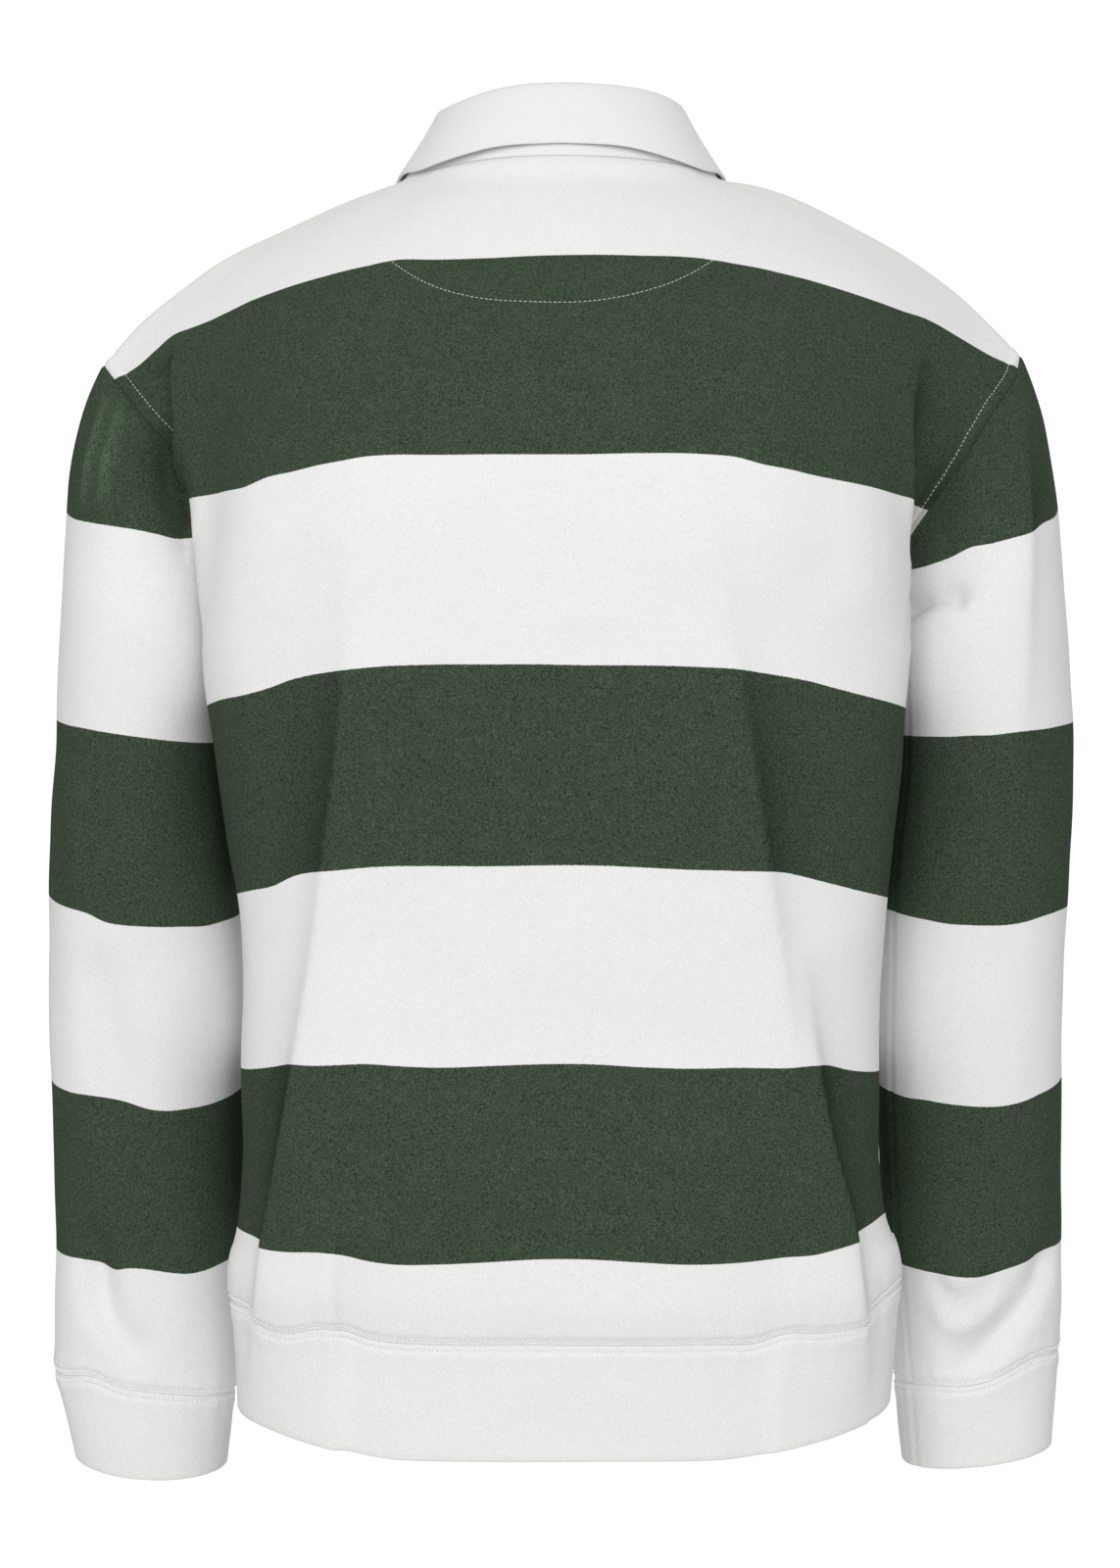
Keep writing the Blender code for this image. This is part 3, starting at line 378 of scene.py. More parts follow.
# ---- seams: each part's height out of the cloth, its width and how far it lies from the seam ----
BAND_SEAM = ((-0.0002, 0.0014, 0.0), (-0.00045, 0.0010, 0.0026), (0.0005, 0.0028, 0.0062))
ARMHOLE_SEAM = ((-0.0006, 0.0018, 0.0), (-0.0004, 0.0018, 0.0070), (0.0004, 0.0024, 0.0038))
SLEEVE_SEAM = ((-0.0006, 0.0018, 0.0),)
PLAIN_SEAM = ((-0.0007, 0.0015, 0.0), (0.0003, 0.002, 0.004))
MOON_RIDGE = (0.0030, 0.0030, -0.0004, 2.0)

# ---- gathers along a seam: their height, how far they run from it, how far apart they are, their seed ----
BAND_GATHERS = (0.0008, 0.011, 0.010, 11)
ARMHOLE_GATHERS = (0.0004, 0.012, 0.014, 12)
SLEEVE_GATHERS = (0.0004, 0.014, 0.016, 13)
GATHERS_START = 0.0025

# ---- the cloth's slow unevenness: its height, its length and its seed ----
UNEVEN = ((0.0009, 0.07, 3), (0.00035, 0.024, 5))

# ---- folds: rows down each fold's ridge, as seen from one side. lift raises the ridge and near is how far
# that reaches behind it. Past the ridge the cloth drops away over reach, and slips up the body by slip ----
FOLD_BOX = 0.20
# Past a fold's ridge the cloth's colour is darkened as painted shade: fully where the fold drops
# FULL_SHADE_DROP or more, starting over SHADE_FROM from the ridge and fading out over reach.
FULL_SHADE_DROP = 0.0045
SHADE_FROM = (-0.0004, 0.0012)
SLIP_GROWTH = ((0.25, 0.006), (0.75, 0.050))
SLIP_REACH = 0.110


def fold(view, group, away, *rows):
    """A fold: the side it is seen from, the pieces it runs over, which way it drops, and its rows."""
    return view, group, away, table("share x z  lift near drop reach soft slip", *rows)


FOLDS = (
    fold(
        "back", "body", "out",
        (0.00, 0.1076, -0.2040, 0.0002, 0.020, 0.0004, 0.016, 0.0050, 0),
        (0.13, 0.1086, -0.2670, 0.0015, 0.025, 0.0022, 0.018, 0.0030, 0),
        (0.27, 0.1144, -0.3210, 0.0030, 0.028, 0.0036, 0.018, 0.0025, 0),
        (0.47, 0.1256, -0.4090, 0.0045, 0.030, 0.0042, 0.016, 0.0018, 0),
        (0.62, 0.1360, -0.4760, 0.0055, 0.030, 0.0050, 0.015, 0.0015, 0),
        (0.74, 0.1470, -0.5400, 0.0065, 0.030, 0.0065, 0.014, 0.0012, 0.0020),
        (0.84, 0.1535, -0.5800, 0.0060, 0.028, 0.0060, 0.013, 0.0012, 0.0050),
        (0.92, 0.1580, -0.6120, 0.0028, 0.026, 0.0022, 0.013, 0.0025, 0.0035),
        (1.00, 0.1600, -0.6450, 0.0000, 0.026, 0.0000, 0.013, 0.0040, 0.0000),
    ),
    fold(
        "back", "body", "out",
        (0.00, -0.0780, -0.2040, 0.0002, 0.020, 0.0004, 0.014, 0.0060, 0),
        (0.22, -0.0886, -0.2650, 0.0015, 0.022, 0.0022, 0.016, 0.0040, 0),
        (0.40, -0.0959, -0.3113, 0.0025, 0.024, 0.0034, 0.016, 0.0025, 0),
        (0.62, -0.1040, -0.3680, 0.0030, 0.024, 0.0036, 0.016, 0.0025, 0),
        (0.80, -0.1120, -0.4200, 0.0020, 0.022, 0.0026, 0.016, 0.0030, 0),
        (1.00, -0.1200, -0.4800, 0.0000, 0.020, 0.0000, 0.016, 0.0050, 0),
    ),
    fold(
        "back", "body", "out",
        (0.00, -0.1215, -0.4000, 0.0000, 0.024, 0.0000, 0.014, 0.0040, 0),
        (0.20, -0.1275, -0.4500, 0.0035, 0.028, 0.0040, 0.014, 0.0020, 0),
        (0.37, -0.1335, -0.4950, 0.0065, 0.030, 0.0072, 0.014, 0.0012, 0),
        (0.60, -0.1462, -0.5450, 0.0070, 0.030, 0.0075, 0.013, 0.0012, 0.0080),
        (0.76, -0.1515, -0.5850, 0.0055, 0.028, 0.0050, 0.012, 0.0014, 0.0150),
        (0.87, -0.1550, -0.6120, 0.0022, 0.024, 0.0016, 0.012, 0.0030, 0.0120),
        (1.00, -0.1570, -0.6450, 0.0000, 0.024, 0.0000, 0.012, 0.0040, 0.0040),
    ),
    fold(
        "back", "body", "in",
        (0.00, 0.1140, -0.5450, 0.0000, 0.012, 0.0000, 0.012, 0.0020, 0),
        (0.25, 0.1148, -0.5750, 0.0012, 0.012, 0.0034, 0.008, 0.0004, 0),
        (0.60, 0.1150, -0.6200, 0.0012, 0.012, 0.0036, 0.008, 0.0004, 0),
        (1.00, 0.1150, -0.6700, 0.0008, 0.012, 0.0030, 0.008, 0.0004, 0),
    ),
    fold(
        "back", "body", "in",
        (0.00, -0.1165, -0.5450, 0.0000, 0.012, 0.0000, 0.011, 0.0020, 0),
        (0.30, -0.1150, -0.5850, 0.0008, 0.012, 0.0022, 0.011, 0.0007, 0),
        (0.60, -0.1105, -0.6200, 0.0008, 0.012, 0.0022, 0.011, 0.0007, 0),
        (1.00, -0.1085, -0.6700, 0.0005, 0.012, 0.0018, 0.011, 0.0008, 0),
    ),
    fold(
        "back", "body left", "out",
        (0.00, 0.2030, -0.0920, 0.0000, 0.014, 0.0000, 0.009, 0.0040, 0),
        (0.12, 0.2015, -0.1040, 0.0030, 0.014, 0.0070, 0.008, 0.0006, 0),
        (0.45, 0.1990, -0.1280, 0.0050, 0.014, 0.0130, 0.007, 0.0004, 0),
        (0.75, 0.1970, -0.1500, 0.0050, 0.014, 0.0120, 0.007, 0.0004, 0),
        (1.00, 0.1940, -0.1800, 0.0020, 0.014, 0.0040, 0.008, 0.0010, 0),
    ),
    fold(
        "back", "body right", "out",
        (0.00, -0.1880, -0.0900, 0.0000, 0.014, 0.0000, 0.014, 0.0060, 0),
        (0.20, -0.1830, -0.1160, 0.0010, 0.014, 0.0025, 0.014, 0.0050, 0),
        (0.50, -0.1800, -0.1460, 0.0030, 0.014, 0.0060, 0.010, 0.0012, 0),
        (0.75, -0.1785, -0.1720, 0.0045, 0.014, 0.0090, 0.009, 0.0006, 0),
        (1.00, -0.1780, -0.2050, 0.0020, 0.014, 0.0050, 0.009, 0.0008, 0),
    ),
    fold(
        "back", "right", "out",
        (0.00, -0.2440, -0.1200, 0.0000, 0.014, 0.0000, 0.014, 0.0040, 0),
        (0.25, -0.2445, -0.1650, 0.0012, 0.014, 0.0026, 0.014, 0.0020, 0),
        (0.55, -0.2430, -0.2350, 0.0012, 0.014, 0.0026, 0.014, 0.0020, 0),
        (1.00, -0.2380, -0.3300, 0.0000, 0.014, 0.0000, 0.014, 0.0050, 0),
    ),
    fold(
        "front", "body", "out",
        (0.00, 0.1000, -0.1800, 0.0000, 0.022, 0.0000, 0.016, 0.0050, 0),
        (0.25, 0.1080, -0.2900, 0.0020, 0.024, 0.0030, 0.016, 0.0030, 0),
        (0.50, 0.1200, -0.4000, 0.0040, 0.026, 0.0045, 0.015, 0.0020, 0),
        (0.75, 0.1380, -0.5200, 0.0060, 0.028, 0.0060, 0.014, 0.0015, 0),
        (1.00, 0.1500, -0.6700, 0.0030, 0.024, 0.0030, 0.013, 0.0020, 0),
    ),
    fold(
        "front", "body", "out",
        (0.00, -0.0900, -0.1800, 0.0000, 0.022, 0.0000, 0.016, 0.0050, 0),
        (0.25, -0.0980, -0.2900, 0.0020, 0.024, 0.0030, 0.016, 0.0030, 0),
        (0.50, -0.1140, -0.4000, 0.0045, 0.026, 0.0045, 0.015, 0.0020, 0),
        (0.75, -0.1380, -0.5200, 0.0055, 0.028, 0.0055, 0.014, 0.0015, 0),
        (1.00, -0.1480, -0.6700, 0.0030, 0.024, 0.0030, 0.013, 0.0020, 0),
    ),
    fold(
        "front", "body left", "out",
        (0.00, 0.1990, -0.0880, 0.0000, 0.012, 0.0000, 0.010, 0.0040, 0),
        (0.30, 0.1950, -0.1100, 0.0015, 0.014, 0.0035, 0.010, 0.0020, 0),
        (0.65, 0.1910, -0.1450, 0.0025, 0.014, 0.0050, 0.009, 0.0012, 0),
        (1.00, 0.1860, -0.1900, 0.0008, 0.014, 0.0015, 0.009, 0.0015, 0),
    ),
    fold(
        "front", "body right", "out",
        (0.00, -0.1960, -0.0860, 0.0000, 0.012, 0.0000, 0.010, 0.0040, 0),
        (0.30, -0.1920, -0.1120, 0.0015, 0.014, 0.0035, 0.010, 0.0025, 0),
        (0.65, -0.1870, -0.1500, 0.0025, 0.014, 0.0045, 0.009, 0.0015, 0),
        (1.00, -0.1830, -0.1920, 0.0008, 0.014, 0.0015, 0.009, 0.0015, 0),
    ),
    fold(
        "front", "body", "in",
        (0.00, 0.0640, -0.5400, 0.0000, 0.012, 0.0000, 0.012, 0.0020, 0),
        (0.40, 0.0660, -0.5950, 0.0006, 0.012, 0.0014, 0.013, 0.0010, 0),
        (1.00, 0.0650, -0.6700, 0.0004, 0.012, 0.0009, 0.012, 0.0010, 0),
    ),
)

# ---- creases: how wide each is above (or towards the shirt's middle) and below (or away from it), its height
# out of the cloth, how sharp it is (2 is soft), and the places along it, as seen from one side ----
# A crease whose far side is narrower than NARROW_CREASE is also painted on the cloth: a painted highlight
# along a raised crease and painted shade along a sunk one.
NARROW_CREASE = 0.006
CREASE_END = 0.22
CREASE_UNEVEN = 0.22
CREASES = (
    ("back", "body", 0.022, 0.018, -0.0022, 2.0, ((0.1385, -0.12), (0.1385, -0.17), (0.132, -0.235))),
    ("back", "body", 0.022, 0.02, -0.002, 2.0, ((0.092, -0.34), (0.0895, -0.41), (0.088, -0.48))),
    ("back", "body", 0.022, 0.018, -0.0022, 2.0, ((-0.1355, -0.12), (-0.1355, -0.174), (-0.128, -0.24))),
    ("back", "left", 0.0034, 0.004, 0.003, 1.4,
     ((0.2385, -0.1077), (0.242, -0.127), (0.2473, -0.1533), (0.252, -0.182))),
    ("back", "left", 0.0034, 0.0045, 0.0024, 1.5,
     ((0.2314, -0.1148), (0.234, -0.138), (0.238, -0.159), (0.2396, -0.183))),
    ("back", "left", 0.01, 0.01, 0.0032, 2.0, ((0.2575, -0.31), (0.2555, -0.331), (0.25, -0.385))),
    ("back", "left", 0.014, 0.012, -0.0048, 2.0,
     ((0.244, -0.4), (0.2426, -0.424), (0.235, -0.485), (0.232, -0.52))),
    ("back", "left", 0.013, 0.0085, -0.008, 2.0,
     ((0.254, -0.545), (0.25, -0.575), (0.243, -0.606), (0.229, -0.622), (0.212, -0.63))),
    ("back", "right", 0.009, 0.0032, -0.0056, 1.5,
     ((-0.174, -0.237), (-0.188, -0.228), (-0.196, -0.2253), (-0.203, -0.2248), (-0.2095, -0.2318))),
    ("back", "right", 0.014, 0.0085, -0.0076, 2.0,
     ((-0.264, -0.56), (-0.257, -0.585), (-0.242, -0.607), (-0.217, -0.626), (-0.2, -0.633))),
    ("back", "right", 0.005, 0.005, -0.0022, 2.0,
     ((-0.195, -0.577), (-0.206, -0.592), (-0.22, -0.59), (-0.231, -0.578))),
    ("back", "right", 0.006, 0.006, 0.002, 2.0,
     ((-0.195, -0.594), (-0.208, -0.608), (-0.223, -0.604), (-0.235, -0.59))),
    ("front", "body", 0.02, 0.018, -0.0022, 2.0, ((0.05, -0.12), (0.078, -0.17), (0.09, -0.24))),
    ("front", "body", 0.02, 0.018, -0.0022, 2.0, ((-0.046, -0.13), (-0.07, -0.18), (-0.084, -0.25))),
    ("front", "body", 0.012, 0.005, -0.0026, 1.7, ((-0.096, -0.54), (-0.094, -0.6), (-0.092, -0.665))),
    ("front", "left", 0.008, 0.005, -0.0034, 1.6, ((0.19, -0.24), (0.203, -0.229), (0.215, -0.23))),
    ("front", "left", 0.014, 0.012, -0.003, 2.0, ((0.244, -0.38), (0.238, -0.44), (0.236, -0.5))),
    ("front", "left", 0.012, 0.009, -0.0054, 2.0,
     ((0.252, -0.56), (0.242, -0.592), (0.22, -0.612), (0.2, -0.618))),
    ("front", "right", 0.008, 0.005, -0.0034, 1.6, ((-0.19, -0.242), (-0.203, -0.231), (-0.214, -0.232))),
    ("front", "right", 0.014, 0.012, -0.003, 2.0, ((-0.246, -0.36), (-0.24, -0.42), (-0.238, -0.47))),
    ("front", "right", 0.012, 0.009, -0.0054, 2.0,
     ((-0.25, -0.552), (-0.24, -0.585), (-0.22, -0.603), (-0.2, -0.61))),
)

# ---- where a seam rides up or sags: the place, how wide and how tall the move is, how far up it goes ----
SAGS = table(
    "group x z wide tall up",
    (0, 0.1180, -0.5990, 0.013, 0.030, 0.0042),
    (0, 0.1420, -0.5970, 0.012, 0.030, -0.0022),
    (0, 0.1620, -0.5950, 0.010, 0.030, 0.0014),
    (0, -0.0960, -0.6020, 0.012, 0.030, -0.0015),
    (0, -0.1150, -0.5990, 0.010, 0.030, 0.0030),
    (1, 0.2520, -0.6350, 0.013, 0.030, 0.0048),
    (2, -0.2190, -0.6360, 0.022, 0.030, -0.0065),
    (2, -0.2560, -0.6300, 0.012, 0.030, 0.0024),
)
GROUPS = ("body", "left", "right")

# ---- where the cloth beside an armhole is pushed out or tucked in ----
PUSH_BOX = 0.06


def push(*rows):
    """A push or tuck: places along it, how far the cloth goes in x and y, and how wide that reaches."""
    return table("share x y z  push_x push_y reach", *rows)


PUSHES = (
    push(
        (0.00, 0.1890, 0.050, -0.1350, 0.0000, 0.0020, 0.015),
        (0.12, 0.1870, 0.052, -0.1480, 0.0050, 0.0030, 0.015),
        (0.28, 0.1838, 0.056, -0.1720, 0.0084, 0.0040, 0.016),
        (0.48, 0.1790, 0.059, -0.2000, 0.0092, 0.0040, 0.017),
        (0.65, 0.1775, 0.058, -0.2200, 0.0060, 0.0030, 0.018),
        (0.82, 0.1810, 0.052, -0.2430, 0.0005, 0.0010, 0.018),
        (1.00, 0.1820, 0.048, -0.2700, 0.0000, 0.0000, 0.018),
    ),
    push(
        (0.00, 0.2130, 0.034, -0.1350, 0.0000, 0.0000, 0.010),
        (0.25, 0.1970, 0.039, -0.1560, 0.0000, -0.0060, 0.012),
        (0.60, 0.1842, 0.034, -0.1910, -0.0010, -0.0080, 0.013),
        (1.00, 0.1742, 0.010, -0.2360, 0.0000, -0.0030, 0.014),
    ),
    push(
        (0.00, -0.1870, 0.057, -0.1600, 0.0000, 0.0020, 0.016),
        (0.30, -0.1790, 0.058, -0.1930, 0.0028, 0.0030, 0.016),
        (0.46, -0.1745, 0.057, -0.2160, -0.0040, 0.0030, 0.017),
        (0.62, -0.1750, 0.052, -0.2400, 0.0008, 0.0015, 0.018),
        (0.80, -0.1790, 0.048, -0.2680, 0.0038, 0.0000, 0.018),
        (1.00, -0.1800, 0.044, -0.3000, 0.0000, 0.0000, 0.018),
    ),
    push(
        (0.00, -0.2143, 0.038, -0.1450, 0.0000, 0.0000, 0.010),
        (0.30, -0.1985, 0.038, -0.1700, 0.0000, -0.0060, 0.012),
        (0.60, -0.1855, 0.034, -0.1900, 0.0010, -0.0080, 0.013),
        (1.00, -0.1704, 0.010, -0.2350, 0.0000, -0.0030, 0.014),
    ),
)

# ---- the levels between which the back's left armhole fold lies over the stitching ----
UNDER_FOLD = (-0.172, -0.150)

# ---- the back neck's half-moon seam, as seen from behind ----
HALF_MOON = (
    (0.104, -0.01), (0.1028, -0.024), (0.0975, -0.042), (0.0844, -0.0565), (0.064, -0.0695),
    (0.0452, -0.0755), (0.0149, -0.0785), (-0.017, -0.0778), (-0.04, -0.073), (-0.0625, -0.064),
    (-0.077, -0.0545), (-0.093, -0.04), (-0.0985, -0.024), (-0.1, -0.008),
)  # fmt: skip


# ---- curves ----
def bell(distance, width, middle=0.0):
    """1 at the middle, falling away smoothly on both sides."""
    return np.exp(-(((distance - middle) / width) ** 2))


def profile(distance, parts):
    """A seam's height at a distance from it, from the height, width and middle of each part."""
    return sum(height * bell(distance, width, middle) for height, width, middle in parts)


def hermite(start, end, start_slope, end_slope, share):
    """The smooth way from start to end that leaves and arrives with these slopes."""
    square, cube = share**2, share**3
    return (
        (2 * cube - 3 * square + 1) * start
        + (3 * square - 2 * cube) * end
        + (cube - 2 * square + share) * start_slope
        + (cube - square) * end_slope
    )


def read(rows, column, at):
    """A column's value where the table's key reads `at`, on a smooth curve through the rows."""
    keys, values = next(iter(rows.values())), rows[column]
    at = np.clip(at, keys[0], keys[-1])
    slopes = np.gradient(values, keys)
    i = np.clip(np.searchsorted(keys, at, side="right") - 1, 0, len(keys) - 2)
    span = keys[i + 1] - keys[i]
    share = (at - keys[i]) / span
    return hermite(values[i], values[i + 1], slopes[i] * span, slopes[i + 1] * span, share)


def smooth_line(places, count):
    """count points along a smooth curve through the places."""
    places = np.array(places, float)
    steps = np.linalg.norm(np.diff(places, axis=0), axis=1)
    rows = {"along": np.concatenate([[0.0], np.cumsum(steps)])}
    rows.update({k: places[:, k] for k in range(places.shape[1])})
    at = np.linspace(0, rows["along"][-1], count)
    return np.stack([read(rows, k, at) for k in range(places.shape[1])], axis=1)


def lengths(line):
    """Each point's distance along a line, or along each column of a grid."""
    steps = np.linalg.norm(np.diff(line, axis=0), axis=-1)
    return np.concatenate([np.zeros_like(steps[:1]), np.cumsum(steps, axis=0)])


def at_places(line, places):
    """Points of a dense line at these distances along it."""
    along = lengths(line)
    return np.stack([np.interp(places, along, line[:, k]) for k in range(3)], axis=1)


def spread(line, count):
    """count + 1 points evenly along a dense line."""
    return at_places(line, np.linspace(0, lengths(line)[-1], count + 1))


def close_near_end(start, end, count):
    """count + 1 places from start to end, closer together over the last stretch, where a seam is."""
    wide = np.linspace(start, end - EDGE_REACH, count - EDGE_COLUMNS + 1)
    return np.concatenate([wide, np.linspace(end - EDGE_REACH, end, EDGE_COLUMNS + 1)[1:]])


def close_near_start(start, end, count):
    """count + 1 places from start to end, closer together over the first stretch, where a seam is."""
    reach = start + math.copysign(SEAM_REACH, end - start)
    wide = np.linspace(reach, end, count - SEAM_ROWS + 1)[1:]
    return np.concatenate([np.linspace(start, reach, SEAM_ROWS + 1), wide])


def smoothstep(low, high, value):
    """From 0 at low to 1 at high, level at both ends."""
    share = np.clip((value - low) / (high - low), 0, 1)
    return share * share * (3 - 2 * share)


def unit(vectors):
    """The vectors at length 1."""
    return vectors / np.maximum(np.linalg.norm(vectors, axis=-1, keepdims=True), 1e-12)


def rise(level, x):
    """How far a level row of the cloth curves up towards the sides."""
    return read(RISE, "rise", level) * np.maximum(0, np.abs(x) - RISE_FROM) ** RISE_POWER


def body_heights(points):
    """Each point's height above the hem seam, measured along the cloth."""
    x, z = points[..., 0], points[..., 2]
    return read(CLOTH, "height", z - rise(z, x))


def with_wander(rows, points, heights, first_edge):
    """Cloth heights changed so that each hoop's edge wanders as its table says."""
    edges = np.stack([read(rows, name, points[..., 0]) for name in list(rows)[1:]])
    at = np.clip((heights - first_edge) / STRIPE, 0, len(edges) - 1)
    low = np.minimum(at.astype(int), len(edges) - 2)[None]
    below, above = (np.take_along_axis(edges, low + k, axis=0)[0] for k in (0, 1))
    return heights + below + (above - below) * (at - low[0])


def waves(points, size, seed):
    """Slow unevenness between about -1 and 1, the same each time."""
    rng = np.random.default_rng(seed)
    total = np.zeros(points.shape[:-1])
    for _ in range(9):
        way = rng.normal(size=3)
        total += np.sin(points @ (way / size * 2.2) + rng.uniform(0, 2 * math.pi))
    return total / 4.0


# ---- body ----
def ring_quarter(half, back, front, wide_y, seam_y, face):
    """A quarter of the body's ring, from the centre of the back or front to the side seam: its x and y."""
    forward = (wide_y - seam_y) / front
    seam_turn = math.pi / 2 + math.asin(forward ** (SQUARE_FRONT / 2))
    turn = np.linspace(0 if face == "back" else math.pi, seam_turn, DENSE)
    behind = turn < math.pi / 2
    power = np.where(behind, 2 / SQUARE_BACK, 2 / SQUARE_FRONT)
    depth = np.where(behind, back, -front)
    x = half * np.abs(np.sin(turn)) ** power
    y = wide_y + depth * np.abs(np.cos(turn)) ** power
    return x, y


def half_row(line, face):
    """A body row's points from the centre to the side. The front's slit edge lies on a column."""
    end = lengths(line)[-1]
    columns = NECK_COLUMNS + SHOULDER_COLUMNS
    if face == "back":
        return at_places(line, close_near_end(0, end, columns))
    slit = np.linspace(0, SLIT_HALF, SLIT_COLUMNS + 1)
    beside = close_near_end(SLIT_HALF, end, columns - SLIT_COLUMNS)[1:]
    return at_places(line, np.concatenate([slit, beside]))


def torso_row(level, face, side):
    """A row of the body below the armpit."""
    wide_y = read(TORSO, "y_wide", level)
    seam_y = read(TORSO, "y_seam", level)
    x, y = ring_quarter(
        read(TORSO, "half_left" if side > 0 else "half_right", level),
        read(TORSO, "y_back", level) - wide_y,
        wide_y - read(TORSO, "y_front", level),
        wide_y,
        seam_y,
        face,
    )
    x = x - read(TORSO, "hollow", level) * bell(y, HOLLOW_REACH, seam_y) * (x > HOLLOW_FROM_X)
    return half_row(np.stack([x, y, level + rise(level, x)], axis=1), face)


def neckline(face):
    """The neck's edge from the centre to the shoulder seam, as a dense line."""
    turn = np.linspace(0, math.pi / 2, DENSE)
    end_y, end_z, dip = NECK_FRONT_Y, NECK_FRONT_Z, NECK_DIP_FRONT
    if face == "back":
        end_y, end_z, dip = NECK_BACK_Y, NECK_BACK_Z, NECK_DIP_BACK
    y = NECK_SIDE_Y + (end_y - NECK_SIDE_Y) * np.cos(turn)
    z = NECK_SIDE_Z + (end_z - NECK_SIDE_Z) * np.cos(turn) ** dip
    return np.stack([NECK_HALF * np.sin(turn), y, z], axis=1)


def top_row(face, side):
    """The body's top row: the neck's edge, then the shoulder seam."""
    x = np.linspace(NECK_HALF, TIP_X, DENSE)
    y = np.linspace(NECK_SIDE_Y, TIP_Y, DENSE)
    shoulder = np.stack([x, y, read(SHOULDER, "left" if side > 0 else "right", x)], axis=1)
    shoulder = at_places(shoulder, close_near_end(0, lengths(shoulder)[-1], SHOULDER_COLUMNS))
    neck = neckline(face)
    places = np.linspace(0, lengths(neck)[-1], NECK_COLUMNS + 1)
    if face == "front":
        rest = np.linspace(SLIT_HALF, places[-1], NECK_COLUMNS - SLIT_COLUMNS + 1)[1:]
        places = np.concatenate([np.linspace(0, SLIT_HALF, SLIT_COLUMNS + 1), rest])
    return np.concatenate([at_places(neck, places), shoulder[1:]])


def armhole_edge(side, face, start):
    """The armhole's edge from the armpit to the shoulder's tip."""
    rows = ARMHOLE_LEFT if side > 0 else ARMHOLE_RIGHT
    share = np.linspace(0, 1, DENSE)
    line = np.stack([read(rows, c, share) for c in ("x", "y_" + face, "z")], axis=1)
    line += (start - line[0]) * ((1 - share) ** 2)[:, None]
    return spread(line, ARMHOLE_ROWS)


def centre_line(face):
    """The centre back or front, from the armpit's level to the neck."""
    rows = CENTRE_BACK if face == "back" else CENTRE_FRONT
    share = np.linspace(0, 1, DENSE)
    line = np.stack([0 * share, read(rows, "y", share), read(rows, "z", share)], axis=1)
    return spread(line, ARMHOLE_ROWS)


def patch(low, top, centre, edge, calm):
    """The surface between four lines: it leaves the low row upright and meets the shoulder line level. calm
    is the share of it below the top row that keeps its own shape."""
    up = np.linspace(0, math.pi / 2, len(centre))
    share = np.stack([up / (math.pi / 2), 1 - np.cos(up), np.sin(up)], axis=1)[:, None, :]
    across = np.linspace(0, 1, len(low))[None, :, None]
    between = (1 - share) * low[None] + share * top[None]
    centre_bulge = centre[:, None] - (1 - share) * centre[0] - share * centre[-1]
    edge_bulge = edge[:, None] - (1 - share) * edge[0] - share * edge[-1]
    near_centre = (1 - across) ** (1 + 3 * share[..., :1] ** 2)
    grid = between + near_centre * centre_bulge + across * edge_bulge
    mirrored = grid[:, SMOOTH_REACH:0:-1] * (-1, 1, 1)
    height = up / up[-1]
    weight = 0.5 * (smoothstep(0, calm, 1 - height) * smoothstep(*SMOOTH_HEIGHTS, height))[:, None, None]
    wide = np.concatenate([mirrored, grid], axis=1)
    for _ in range(SMOOTH_TIMES):
        mean = (wide[:, :-2] + wide[:, 2:]) / 2
        wide[:, 1:-1] += weight * (mean - wide[:, 1:-1])
    fade = smoothstep(0, EDGE_KEEPS, 1 - across)
    return grid + fade * (wide[:, SMOOTH_REACH:] - grid)


def body_half(face, side):
    """Rows from the hem seam to the shoulder, columns from the centre to the side. x is never negative."""
    levels = close_near_start(HEM_SEAM, ARMPIT, BODY_ROWS)
    low = np.stack([torso_row(level, face, side) for level in levels])
    edge = armhole_edge(side, face, low[-1, -1])
    high = patch(low[-1], top_row(face, side), centre_line(face), edge, CALM[face])
    return np.concatenate([low, high[1:]])


def body_panel(face):
    """The whole back or front, columns from the right side to the left."""
    left, right = body_half(face, 1), body_half(face, -1)
    right = right[:, ::-1] * np.array([-1, 1, 1])
    return np.concatenate([right, left[:, 1:]], axis=1)


# ---- sleeves and bands ----
def arm_ring(place, side):
    """Points round the arm: outer side, back, underarm, front."""
    x_out, x_in, y_mid, deep, z_out, z_back, z_in, z_front = place
    turn = np.linspace(0, 2 * math.pi, 2 * DENSE + 1)
    cos, sin = np.cos(turn), np.sin(turn)
    power = 2 / SLEEVE_SQUARE
    x = (x_out + x_in) / 2 + (x_out - x_in) / 2 * np.sign(cos) * np.abs(cos) ** power
    y = y_mid + deep * np.sign(sin) * np.abs(sin) ** power
    z = (
        (z_out + z_back + z_in + z_front) / 4
        + (z_out - z_in) / 2 * cos
        + (z_back - z_front) / 2 * sin
        + (z_out + z_in - z_back - z_front) / 4 * np.cos(2 * turn)
    )
    line = np.stack([side * x, y, z], axis=1)
    halves = spread(line[: DENSE + 1], ARMHOLE_ROWS)[:-1], spread(line[DENSE:], ARMHOLE_ROWS)[:-1]
    return np.concatenate(halves)


